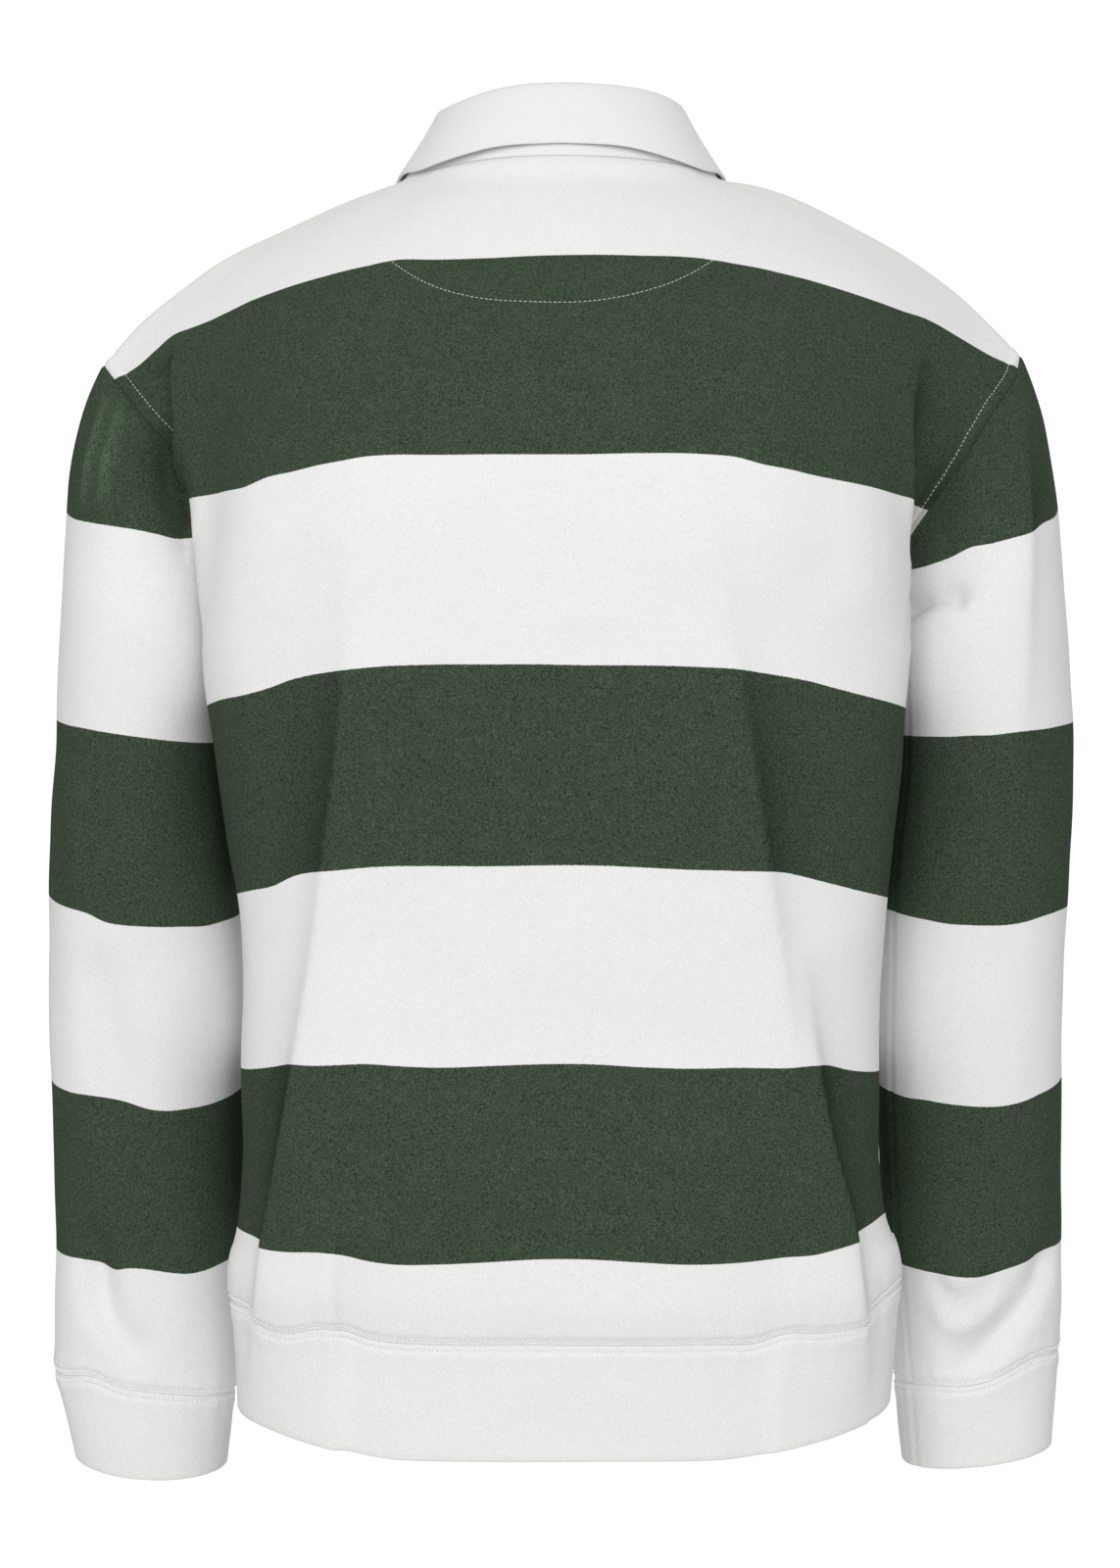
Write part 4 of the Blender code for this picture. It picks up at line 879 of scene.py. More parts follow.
def sleeve_grid(side, back, front):
    """Rows from the armhole to the cuff seam, and each point's cloth height above that seam."""
    edge = -1 if side > 0 else 0
    back_edge = back[-ARMHOLE_ROWS - 1 :, edge]
    front_edge = front[-ARMHOLE_ROWS - 1 :, edge]
    armhole = np.concatenate([back_edge[::-1], front_edge[1:-1]])
    rows = SLEEVE_LEFT if side > 0 else SLEEVE_RIGHT
    columns = list(rows)[1:]

    def ring(height):
        return arm_ring([read(rows, c, height) for c in columns], side)

    keys = rows["height"][::-1]
    first, second = ring(keys[0]), ring(keys[1])
    turn = np.linspace(0, 2 * math.pi, len(armhole), endpoint=False)
    outward = CAP_OUT + CAP_OUT_ON_TOP * (1 + np.cos(turn)) + CAP_OUT_BESIDE * np.sin(turn) ** 2
    down = np.full_like(turn, -CAP_DOWN)
    start = unit(np.stack([side * outward, CAP_OUT_BESIDE * np.sin(turn), down], axis=1))
    end = unit(second - first)
    reach = np.linalg.norm(first - armhole, axis=1, keepdims=True)
    near_seam_shares = np.linspace(0, CAP_FIRST_SHARE, CAP_FIRST_ROWS + 1)
    lower_shares = np.linspace(CAP_FIRST_SHARE, 1, CAP_ROWS - CAP_FIRST_ROWS + 1)[1:]
    shares = np.concatenate([near_seam_shares, lower_shares])
    grid = [hermite(armhole, first, start * reach, end * reach, share) for share in shares]
    top = ARMPIT_HEIGHT + CAP_HEIGHT * (1 + np.cos(turn)) / 2
    heights = [top + (keys[0] - top) * share for share in shares]
    lower = np.arange(keys[0] - ROW, SEAM_REACH + ROW / 2, -ROW)
    for height in np.concatenate([lower, np.linspace(SEAM_REACH, 0, SEAM_ROWS + 1)]):
        grid.append(ring(height))
        heights.append(np.full(len(turn), height))
    return np.array(grid), np.array(heights)


def between_rings(start, end):
    """A band's grid from its seam to its end, closer together near the seam."""
    deep = np.linalg.norm(end - start, axis=1).mean()
    shares = (close_near_start(0, deep, BAND_ROWS) / deep)[:, None, None]
    return (1 - shares) * start[None] + shares * end[None]


def band_ring():
    """The hem band's lower edge, all round."""
    quarters = {}
    for side, half in ((1, BAND_HALF_LEFT), (-1, BAND_HALF_RIGHT)):
        for face in ("back", "front"):
            back, front = BAND_BACK_Y - BAND_WIDE_Y, BAND_WIDE_Y - BAND_FRONT_Y
            x, y = ring_quarter(half, back, front, BAND_WIDE_Y, BAND_SIDE_Y, face)
            line = half_row(np.stack([x, y, BAND_END + rise(BAND_END, x)], axis=1), face)
            quarters[side, face] = line * (side, 1, 1)
    back = np.concatenate([quarters[-1, "back"][::-1], quarters[1, "back"][1:]])
    front = np.concatenate([quarters[1, "front"][::-1], quarters[-1, "front"][1:]])
    return np.concatenate([back, front[1:-1]])


# ---- grids, walls and meshes ----
def grid_quads(rows, columns, wrap=False, flip=False):
    """A grid's quads. wrap joins its last column to its first, and flip turns the quads over."""
    r = np.arange(rows - 1)[:, None]
    c = np.arange(columns if wrap else columns - 1)[None, :]
    d = (c + 1) % columns
    corners = (r * columns + c, r * columns + d, (r + 1) * columns + d, (r + 1) * columns + c)
    quads = np.stack(np.broadcast_arrays(*corners), axis=-1).reshape(-1, 4)
    return quads[:, ::-1] if flip else quads


def open_edges(quads):
    """The edges that only one quad has, in the quad's own direction."""
    a, b = quads.ravel(), np.roll(quads, -1, axis=1).ravel()
    keys = np.minimum(a, b) * (quads.max() + 1) + np.maximum(a, b)
    _, first, count = np.unique(keys, return_index=True, return_counts=True)
    lone = first[count == 1]
    return a[lone], b[lone]


class Cloth:
    """A cloth piece: its outer points on a grid, its quads and each point's place in the cloth. A place is
    how far across and how high up the cloth it is, and how much highlight (up to 1) and shade (down to -1) is
    painted there."""

    def __init__(self, grid, group, wall, heights=None, wrap=False, flip=False, holes=None):
        self.shape = grid.shape[:2]
        self.points = grid.reshape(-1, 3).copy()
        self.quads = grid_quads(*self.shape, wrap=wrap, flip=flip)
        if holes is not None:
            self.quads = self.quads[~holes]
        self.group, self.wall = group, wall
        across = lengths(grid.transpose(1, 0, 2)).T
        across = across - across[:, self.shape[1] // 2 : self.shape[1] // 2 + 1]
        if heights is None:
            heights = -lengths(grid)
        self.place = np.stack([across, heights, np.zeros_like(across)], axis=-1).reshape(-1, 3)

    @property
    def grid(self):
        """The outer points in rows and columns."""
        return self.points.reshape(*self.shape, 3)

    def ways(self):
        """The way out of the cloth at each point."""
        a, b, c, d = (self.points[self.quads[:, k]] for k in range(4))
        normal = np.cross(c - a, d - b)
        total = np.zeros_like(self.points)
        for k in range(4):
            np.add.at(total, self.quads[:, k], normal)
        return unit(total)


def sewn_points(pieces):
    """The places where pieces are sewn together: at each, the pieces that meet and each one's own point."""
    common = {}
    for name, piece in pieces.items():
        for i in np.unique(open_edges(piece.quads)[0]):
            common.setdefault(tuple(np.round(piece.points[i], 5)), []).append((name, i))
    return [spots for spots in common.values() if len(spots) > 1]


def share_on_seams(values, sewn):
    """At the points that pieces have in common, each takes the mean of their values."""
    for spots in sewn:
        mean = sum(values[name][i] for name, i in spots) / len(spots)
        for name, i in spots:
            values[name][i] = mean


def seam_ways(pieces, sewn):
    """The way out at each point of each piece, the same for the pieces that meet there."""
    ways = {name: piece.ways() for name, piece in pieces.items()}
    share_on_seams(ways, sewn)
    return {name: unit(way) for name, way in ways.items()}


def tree_of(*pieces):
    """One search tree of the pieces' quads."""
    points, faces, base = [], [], 0
    for piece in pieces:
        points += piece.points.tolist()
        faces += (piece.quads + base).tolist()
        base += len(piece.points)
    return BVHTree.FromPolygons(points, faces)


VIEWS = {
    "back": (lambda a, b: (a, 1.0, b), (0, -1, 0)),
    "front": (lambda a, b: (a, -1.0, b), (0, 1, 0)),
}


def laid_line(tree, view, places, count):
    """A line of places as seen from one side, laid on the cloth: its points and the way out at each."""
    start, way = VIEWS[view]
    line, ways = [], []
    for a, b in smooth_line(places, count):
        place, normal, *_ = tree.ray_cast(Vector(start(a, b)), Vector(way))
        if place is not None:
            line.append(place)
            ways.append(normal)
    return np.array(line), np.array(ways)


def nearest_on(points, line):
    """For each point: its distance from a line, the share along it, the gap from it and the line's run."""
    best = np.full(len(points), np.inf)
    share, gaps, runs = np.zeros(len(points)), np.zeros_like(points), np.zeros_like(points)
    for i, (start, step) in enumerate(zip(line[:-1], np.diff(line, axis=0))):
        t = np.clip((points - start) @ step / step.dot(step), 0, 1)
        gap = points - start - t[:, None] * step
        distance = np.linalg.norm(gap, axis=1)
        closer = distance < best
        best[closer], gaps[closer], runs[closer] = distance[closer], gap[closer], step
        share[closer] = (i + t[closer]) / (len(line) - 1)
    return best, share, gaps, runs


def side_of(points, line, ways, towards):
    """Distance from a line on the cloth, negative on the side away from `towards`, and the share along."""
    distance, share, gaps, runs = nearest_on(points, line)
    out = ways[np.clip((share * (len(ways) - 1)).round().astype(int), 0, len(ways) - 1)]
    middle = len(line) // 2
    sense = np.sign(np.dot(np.cross(line[-1] - line[0], towards), ways[middle]))
    return distance * np.sign(np.sum(np.cross(runs, gaps) * out, axis=1)) * sense, share


def near_line(points, line, reach):
    """Which points lie in the line's box, grown by reach."""
    return np.all((points > line.min(axis=0) - reach) & (points < line.max(axis=0) + reach), axis=1)


def crease_relief(points, line, ways, near, far, height, sharp):
    """How far a soft line lifts each point out of the cloth."""
    inside = near_line(points, line, 3.2 * max(near, far))
    run = line[-1] - line[0]
    middle = -np.sign(line[len(line) // 2, 0])
    towards = np.array([middle, 0, 0]) if abs(run[2]) > abs(run[0]) else np.array([0, 0, 1.0])
    side, share = side_of(points[inside], line, ways, towards)
    width = np.where(side > 0, near, far)
    ends = smoothstep(0, CREASE_END, share) * smoothstep(1, 1 - CREASE_END, share)
    uneven = 1 + CREASE_UNEVEN * np.sin(9 * share + 40 * line[0, 0])
    result = np.zeros(len(points))
    result[inside] = height * ends * uneven * np.exp(-((np.abs(side) / width) ** sharp))
    return result


def fold_relief(points, line, ways, away, rows):
    """A fold's height at each point, how far the cloth past its ridge slips up, and the painted shade past its
    ridge.
    """
    inside = near_line(points, line, FOLD_BOX)
    outward = np.sign(line[len(line) // 2, 0]) * (1 if away == "out" else -1)
    side, share = side_of(points[inside], line, ways, np.array([outward, 0, 0]))
    lift, near, drop, reach, soft, slip = (read(rows, c, share) for c in list(rows)[3:])
    past = (side + np.sqrt(side**2 + soft**2)) / 2
    before = past - side
    ridge = lift * bell(before, near) * np.exp(-past / reach)
    valley = drop * math.e * past / reach * np.exp(-past / reach)
    relief, slips, shade = np.zeros((3, len(points)))
    relief[inside] = ridge - valley
    # Painted shade: the cloth past the ridge is darkened, more for deeper folds, and fades out over reach.
    dark = np.clip(drop / FULL_SHADE_DROP, 0, 1)
    shade[inside] = dark * smoothstep(*SHADE_FROM, side) * np.exp(-past / reach)
    growth = sum(share * smoothstep(0, over, side) for share, over in SLIP_GROWTH)
    slips[inside] = slip * growth * bell(past, SLIP_REACH)
    return relief, slips, shade


def pushed(points):
    """How far each point is moved by the pushes and tucks beside the armholes."""
    total = np.zeros_like(points)
    for rows in PUSHES:
        line = smooth_line(np.stack([rows[c] for c in "xyz"], axis=1), 30)
        inside = near_line(points, line, PUSH_BOX)
        distance, share, _, _ = nearest_on(points[inside], line)
        near = bell(distance, read(rows, "reach", share))
        total[inside, 0] += read(rows, "push_x", share) * near
        total[inside, 1] += read(rows, "push_y", share) * near
    return total


def gathers(distance, along, height, reach, step, seed):
    """Small gathers that run away from a seam."""
    rng = np.random.default_rng(seed)
    total = sum(np.sin(2 * math.pi * along / (step * s) + rng.uniform(0, 6)) for s in (0.8, 1.0, 1.37, 1.9))
    return height * (total / 4 * np.exp(-distance / reach) * (1 - bell(distance, GATHERS_START)))


def along_edge(grid):
    """For a grid whose rows leave an edge: each point's distance from it, and how far along it that is."""
    return lengths(grid), np.broadcast_to(lengths(grid[0]), grid.shape[:2])


def seam_relief(name, grid):
    """A piece's height out of the cloth beside its seams, as a grid."""
    field = np.zeros(grid.shape[:2])
    kind, side = name.split("_") if "_" in name else (name, None)
    from_band = BOTH_WAYS[kind == "sleeve"]
    away, along = along_edge(grid[from_band])
    field[from_band] += profile(away, BAND_SEAM) + gathers(away, along, *BAND_GATHERS)
    if kind == "sleeve":
        away, along = along_edge(grid)
        field += gathers(away, along, *SLEEVE_GATHERS) + profile(away, SLEEVE_SEAM)
    if kind in ("sleeve", "cuff"):
        underarm = grid[:, UNDERARM[side]]
        field += profile(np.linalg.norm(grid - underarm[:, None], axis=2), PLAIN_SEAM)
    if kind in ("back", "front"):
        high, low = slice(-ARMHOLE_ROWS - 1, None), slice(-ARMHOLE_ROWS)
        top = slice(-1, -SHOULDER_ROWS - 1, -1)
        for turned in BOTH_WAYS:
            away, along = along_edge(grid[high, turned].transpose(1, 0, 2))
            field[high, turned] += (profile(away, ARMHOLE_SEAM) + gathers(away, along, *ARMHOLE_GATHERS)).T
            from_side = lengths(grid[low, turned].transpose(1, 0, 2)).T
            field[low, turned] += profile(from_side, PLAIN_SEAM)
            from_shoulder = lengths(grid[top, turned][:, :SHOULDER_COLUMNS])
            field[top, turned][:, :SHOULDER_COLUMNS] += profile(from_shoulder, PLAIN_SEAM)
    return field


# ---- stitches ----
def edge_line(grid, ways, distance):
    """A line at a distance from the grid's first row, and the way out along it. Rows leave the edge."""
    away = lengths(grid)
    line, out = [], []
    for c in range(grid.shape[1]):
        line.append([np.interp(distance, away[:, c], grid[:, c, k]) for k in range(3)])
        out.append([np.interp(distance, away[:, c], ways[:, c, k]) for k in range(3)])
    return np.array(line), unit(np.array(out))


def stitch_shape():
    """A thread's arch between its two holes: along, across and up, each about 1 long."""
    sides = STITCH_SIDES
    points, faces = [(-0.5, 0, -0.35)], []
    for along, size in ((-0.38, 0.75), (0.0, 1.0), (0.38, 0.75)):
        lift = 0.55 * (1 - (2 * along) ** 2)
        for k in range(sides):
            angle = 2 * math.pi * k / sides
            points.append((along, 0.5 * size * math.cos(angle), lift + 0.5 * size * math.sin(angle)))
    points.append((0.5, 0, -0.35))
    last = len(points) - 1
    for k in range(sides):
        n = (k + 1) % sides
        faces.append((0, 1 + n, 1 + k, 1 + k))
        for ring in (0, 1):
            low, high = 1 + ring * sides, 1 + (ring + 1) * sides
            faces.append((low + k, low + n, high + n, high + k))
        faces.append((1 + 2 * sides + k, 1 + 2 * sides + n, last, last))
    return np.array(points), faces


def stitch_row(line, ways, stitch, slant=0.0, skip=0.0, seed=0):
    """Stitches at even steps along a line: their points and faces."""
    pitch, length, width = stitch
    rng = np.random.default_rng(seed)
    along = lengths(line)
    count = int((along[-1] - 2 * skip) / pitch)
    places = skip + (np.arange(count) + 0.5) * pitch + rng.uniform(-PITCH_VARIES, PITCH_VARIES, count) * pitch
    spot = at_places(line, places)
    out = unit(np.stack([np.interp(places, along, ways[:, k]) for k in range(3)], axis=1))
    ahead = at_places(line, places + STITCH_RUN) - at_places(line, places - STITCH_RUN)
    ahead = unit(ahead - out * np.sum(ahead * out, axis=1, keepdims=True))
    cross = np.cross(out, ahead)
    turn = (slant + rng.uniform(-TURN_VARIES, TURN_VARIES, count))[:, None]
    ahead, cross = ahead * np.cos(turn) + cross * np.sin(turn), cross * np.cos(turn) - ahead * np.sin(turn)
    shape, faces = stitch_shape()
    size = rng.uniform(1 - SIZE_VARIES, 1 + SIZE_VARIES, count)[:, None, None]
    points = (
        spot[:, None]
        + ahead[:, None] * shape[None, :, :1] * length * size
        + cross[:, None] * shape[None, :, 1:2] * width
        + out[:, None] * shape[None, :, 2:] * width
    )
    base = np.arange(count)[:, None, None] * len(shape)
    return points.reshape(-1, 3), (np.array(faces)[None] + base).reshape(-1, 4)


def stitches(name, rows, material):
    """One piece of many stitches."""
    points, faces, base = [], [], 0
    for row_points, row_faces in rows:
        points.append(row_points)
        faces += [tuple(dict.fromkeys(face)) for face in (row_faces + base).tolist()]
        base += len(row_points)
    mesh = bpy.data.meshes.new(name)
    mesh.from_pydata(np.concatenate(points).tolist(), [], faces)
    mesh.materials.append(material)
    mesh.shade_smooth()
    return placed(name, mesh)


def placed(name, mesh):
    """A new piece that rides on the shirt."""
    obj = bpy.data.objects.new(name, mesh)
    bpy.context.scene.collection.objects.link(obj)
    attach(obj, "root")
    return obj


def cloth_object(node, piece, ways, sewn, material, slot):
    """The closed wall of a cloth piece: outer side, inner side and a rounded rim between them."""
    a, b = open_edges(piece.quads)
    points = piece.points
    middles = points[piece.quads].mean(axis=1)
    near, count = np.zeros_like(points), np.zeros(len(points))
    for k in range(4):
        np.add.at(near, piece.quads[:, k], middles)
        np.add.at(count, piece.quads[:, k], 1)
    along = np.zeros_like(points)
    np.add.at(along, a, points[b] - points[a])
    np.add.at(along, b, points[b] - points[a])
    along = unit(along)
    out = points - near / np.maximum(count, 1)[:, None]
    out -= along * np.sum(out * along, axis=1, keepdims=True)
    out -= ways * np.sum(out * ways, axis=1, keepdims=True)
    rim = np.zeros(len(points), bool)
    rim[a] = True
    round_off = np.full(len(points), piece.wall / 2)
    round_off[[i for spots in sewn for owner, i in spots if owner == node]] *= SEWN_RIM
    out = unit(out) * rim[:, None] * round_off[:, None]
    outer = points - out
    inner = outer - ways * piece.wall
    rim_points = np.nonzero(rim)[0]
    place_of = np.full(len(points), -1)
    place_of[rim_points] = np.arange(len(rim_points))
    rings, total = [], 2 * len(points)
    for k in range(1, RIM_STEPS):
        angle = math.pi * k / RIM_STEPS
        ring = (outer + inner) / 2 + math.cos(angle) * (outer - inner) / 2 + math.sin(angle) * out
        rings.append(ring[rim_points])
    steps = [(a, b)]
    for k in range(RIM_STEPS - 1):
        base = total + k * len(rim_points)
        steps.append((base + place_of[a], base + place_of[b]))
    steps.append((a + len(points), b + len(points)))
    faces = [piece.quads, piece.quads[:, ::-1] + len(points)]
    for (a0, b0), (a1, b1) in zip(steps[:-1], steps[1:]):
        faces.append(np.stack([b0, a0, a1, b1], axis=1))
    faces = np.concatenate(faces)
    everything = np.concatenate([outer, inner, *rings])
    place = np.concatenate([piece.place, piece.place] + [piece.place[rim_points]] * len(rings))
    used = np.unique(faces)
    renumber = np.full(len(everything), -1)
    renumber[used] = np.arange(len(used))
    mesh = bpy.data.meshes.new(node + "_cloth")
    mesh.from_pydata(everything[used].tolist(), [], renumber[faces].tolist())
    mesh.attributes.new("cloth", "FLOAT_VECTOR", "POINT").data.foreach_set("vector", place[used].ravel())
    mesh.materials.append(material)
    mesh.shade_smooth()
    obj = placed(node + "_cloth", mesh)
    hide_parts(node)
    return obj


# ---- materials ----
GREEN = (0.0476, 0.0698, 0.0445)
FLEECE_WHITE = (0.831, 0.828, 0.821)
BAND_WHITE = (0.842, 0.842, 0.830)
TWILL_WHITE = (0.831, 0.831, 0.830)
THREAD_WHITE = (0.87, 0.87, 0.855)
RESIN_CREAM = (0.84, 0.83, 0.79)
FLOOR_WHITE = (0.96, 0.96, 0.96)
NAP_ON_WHITE = 0.46
NAP_ON_GREEN = 4.2
NAP_ON_BAND = 0.44
# How strongly the painted highlight and painted shade from folds and creases change the white and the green.
PAINTED_LIGHT_ON_GREEN = 0.60
PAINTED_LIGHT_ON_WHITE = 0.08
FLEECE_ROUGHNESS = 0.95
FLEECE_GLOSS = 0.06
TWILL_RIB = 0.0009
FLOOR_GLOW = 0.22
FLOOR_FADES_FROM = 0.42
FLOOR_FADES_TO = 0.74
MIX_FIRST, MIX_SECOND, MIX_RESULT = 6, 7, 2
TWILL_CONTRAST = 0.20
HOOP_EDGE_SHARPNESS = 110.0
HOOP_EDGE_RAGGED = 0.0007
FLOAT, VECTOR = "NodeSocketFloat", "NodeSocketVector"


def socket_value(tree, socket, value):
    """Links another node's output to a socket, or sets its value."""
    if isinstance(value, bpy.types.NodeSocket):
        tree.links.new(value, socket)
    else:
        socket.default_value = value


def node(tree, kind, values=(), **settings):
    """A new shader node with these settings and socket values."""
    made = tree.nodes.new(kind)
    for key, value in settings.items():
        setattr(made, key, value)
    for name, value in dict(values).items():
        socket_value(tree, made.inputs[name], value)
    return made


def calc(tree, operation, *values, clamp=False):
    """The result of one step of arithmetic."""
    made = node(tree, "ShaderNodeMath", operation=operation, use_clamp=clamp)
    for socket, value in zip(made.inputs, values):
        socket_value(tree, socket, value)
    return made.outputs[0]


def noise(tree, place, scale, detail=2.0, roughness=0.5):
    """Noise between 0 and 1, as fine as scale says along each way."""
    scaled = node(tree, "ShaderNodeVectorMath", operation="MULTIPLY")
    tree.links.new(place, scaled.inputs[0])
    scaled.inputs[1].default_value = scale
    values = {"Vector": scaled.outputs[0], "Scale": 1.0, "Detail": detail, "Roughness": roughness}
    return node(tree, "ShaderNodeTexNoise", values).outputs[0]


def new_group(name, inputs, outputs):
    """A shader node group, what it is given and where its results go."""
    group = bpy.data.node_groups.new(name, "ShaderNodeTree")
    for label, kind in inputs:
        group.interface.new_socket(label, in_out="INPUT", socket_type=kind)
    for label in outputs:
        group.interface.new_socket(label, in_out="OUTPUT", socket_type="NodeSocketFloat")
    return group, group.nodes.new("NodeGroupInput").outputs, group.nodes.new("NodeGroupOutput").inputs


def hoops_group():
    """Where the cloth is green: hoops of one height, counted from the first edge up, with a knitted edge."""
    inputs = [("Place", VECTOR), ("First Edge", FLOAT), ("Hoop", FLOAT)]
    group, given, out = new_group("hoops", inputs, ["Green"])
    height = node(group, "ShaderNodeSeparateXYZ", {"Vector": given["Place"]}).outputs["Y"]
    edge = noise(group, given["Place"], (1500, 1100, 0), 1)
    ragged = calc(group, "MULTIPLY_ADD", edge, HOOP_EDGE_RAGGED, -HOOP_EDGE_RAGGED / 2)
    height = calc(group, "ADD", height, ragged)
    turns = calc(group, "DIVIDE", calc(group, "SUBTRACT", height, given["First Edge"]), given["Hoop"])
    wave = calc(group, "SINE", calc(group, "MULTIPLY", turns, math.pi))
    group.links.new(calc(group, "MULTIPLY_ADD", wave, HOOP_EDGE_SHARPNESS, 0.5, clamp=True), out["Green"])
    return group


def nap_group():
    """Brushed fleece: short upright fibres, small tufts and slow clouding, as a shade and a height."""
    group, given, out = new_group("nap", [("Place", VECTOR), ("Contrast", FLOAT)], ["Shade", "Height"])
    fibre = noise(group, given["Place"], (1500, 1500, 1300), 2.0, 0.6)
    tuft = noise(group, given["Place"], (620, 620, 520), 2)
    cloud = noise(group, given["Place"], (70, 70, 55), 2)
    tufts = calc(group, "MULTIPLY_ADD", tuft, 0.17, calc(group, "MULTIPLY", cloud, 0.03))
    mixed = calc(group, "MULTIPLY_ADD", fibre, 0.80, tufts)
    swing = calc(group, "MULTIPLY", calc(group, "SUBTRACT", mixed, 0.5), given["Contrast"])
    group.links.new(calc(group, "ADD", swing, 1.0), out["Shade"])
    height = calc(group, "MULTIPLY_ADD", fibre, 0.6, calc(group, "MULTIPLY", tuft, 0.4))
    group.links.new(height, out["Height"])
    return group


def twill_group():
    """Cotton twill: fine diagonal ribs crossed by the warp, as a shade and a height."""
    group, given, out = new_group("twill", [("Place", VECTOR), ("Rib", FLOAT)], ["Shade", "Height"])
    place = node(group, "ShaderNodeSeparateXYZ", {"Vector": given["Place"]}).outputs
    diagonal = calc(group, "ADD", place["X"], calc(group, "MULTIPLY", place["Y"], 0.8))
    wobble = noise(group, given["Place"], (300, 300, 0), 1)
    turns = calc(group, "MULTIPLY_ADD", wobble, 0.8, calc(group, "DIVIDE", diagonal, given["Rib"]))
    rib = calc(group, "SINE", calc(group, "MULTIPLY", turns, 2 * math.pi))
    slub = noise(group, given["Place"], (1400, 700, 0), 2)
    height = calc(group, "MULTIPLY_ADD", rib, 0.35, slub)
    group.links.new(height, out["Height"])
    swing = calc(group, "SUBTRACT", height, 0.5)
    group.links.new(calc(group, "MULTIPLY_ADD", swing, TWILL_CONTRAST, 1.0), out["Shade"])
    return group


def new_material(name, roughness, sheen=0.0, gloss=0.25):
    """A material, its nodes and its shader."""
    material = bpy.data.materials.new(name)
    material.use_nodes = True
    shader = material.node_tree.nodes["Principled BSDF"]
    shader.inputs["Roughness"].default_value = roughness
    shader.inputs["Sheen Weight"].default_value = sheen
    shader.inputs["Sheen Roughness"].default_value = 0.5
    shader.inputs["Specular IOR Level"].default_value = gloss
    return material, material.node_tree, shader


def use_group(tree, group, **values):
    """A group placed in a material with its own values: its outputs."""
    made = node(tree, "ShaderNodeGroup", node_tree=group)
    for name, value in values.items():
        socket_value(tree, made.inputs[name.replace("_", " ")], value)
    return made.outputs


def shaded(tree, colour, shade):
    """A colour times a shade."""
    mixed = node(tree, "ShaderNodeVectorMath", operation="SCALE")
    socket_value(tree, mixed.inputs[0], colour)
    tree.links.new(shade, mixed.inputs["Scale"])
    return mixed.outputs[0]


def bumped(tree, shader, height, strength, distance):
    """A height that the light sees as relief."""
    bump = node(tree, "ShaderNodeBump", {"Height": height, "Strength": strength, "Distance": distance})
    tree.links.new(bump.outputs[0], shader.inputs["Normal"])


def cloth_place(tree):
    """Each point's place in its own cloth, with the highlight and shade painted there."""
    return node(tree, "ShaderNodeAttribute", attribute_name="cloth").outputs["Vector"]


def object_place(tree):
    """Each point's place in the shirt, in metres."""
    return node(tree, "ShaderNodeTexCoord").outputs["Object"]


def hooped_fleece(name, first_edge):
    """Brushed fleece in hoops. Past a fold's ridge it is darkened as painted shade; along a narrow crease it
    is lightened as a painted highlight where raised and darkened as painted shade where sunk.
    """
    material, tree, shader = new_material(name, FLEECE_ROUGHNESS, gloss=FLEECE_GLOSS)
    place = cloth_place(tree)
    green = use_group(tree, HOOPS, Place=place, First_Edge=first_edge, Hoop=STRIPE)["Green"]
    on_white = use_group(tree, NAP, Place=object_place(tree), Contrast=NAP_ON_WHITE)
    on_green = use_group(tree, NAP, Place=object_place(tree), Contrast=NAP_ON_GREEN)
    mix = node(tree, "ShaderNodeMix", data_type="RGBA")
    tree.links.new(green, mix.inputs["Factor"])
    # The cloth's third place value is the painted highlight and painted shade from folds and creases; it
    # scales each colour, the green far more than the white.
    painted_light = node(tree, "ShaderNodeSeparateXYZ", {"Vector": place}).outputs["Z"]
    for colour, nap, share, socket in (
        (FLEECE_WHITE, on_white, PAINTED_LIGHT_ON_WHITE, MIX_FIRST),
        (GREEN, on_green, PAINTED_LIGHT_ON_GREEN, MIX_SECOND),
    ):
        brushed = calc(tree, "MULTIPLY", nap["Shade"], calc(tree, "MULTIPLY_ADD", painted_light, share, 1.0))
        tree.links.new(shaded(tree, colour, brushed), mix.inputs[socket])
    tree.links.new(mix.outputs[MIX_RESULT], shader.inputs["Base Color"])
    bumped(tree, shader, on_white["Height"], 0.5, 0.0005)
    return material


def plain_fleece(name):
    """White brushed fleece for the hem and cuff bands."""
    material, tree, shader = new_material(name, FLEECE_ROUGHNESS, gloss=FLEECE_GLOSS)
    nap = use_group(tree, NAP, Place=object_place(tree), Contrast=NAP_ON_BAND)
    tree.links.new(shaded(tree, BAND_WHITE, nap["Shade"]), shader.inputs["Base Color"])
    bumped(tree, shader, nap["Height"], 0.6, 0.0006)
    return material


def white_twill(name):
    """White cotton twill for the collar and placket."""
    material, tree, shader = new_material(name, 0.85, 0.05)
    twill = use_group(tree, TWILL, Place=cloth_place(tree), Rib=TWILL_RIB)
    tree.links.new(shaded(tree, TWILL_WHITE, twill["Shade"]), shader.inputs["Base Color"])
    bumped(tree, shader, twill["Height"], 0.35, 0.0003)
    return material


def cotton_thread(name, colour):
    """Twisted cotton thread."""
    material, tree, shader = new_material(name, 0.7, 0.05)
    twist = noise(tree, object_place(tree), (2600, 2600, 2600), 1)
    shade = calc(tree, "MULTIPLY_ADD", twist, 0.16, 0.92)
    tree.links.new(shaded(tree, colour, shade), shader.inputs["Base Color"])
    bumped(tree, shader, twist, 0.4, 0.0002)
    return material


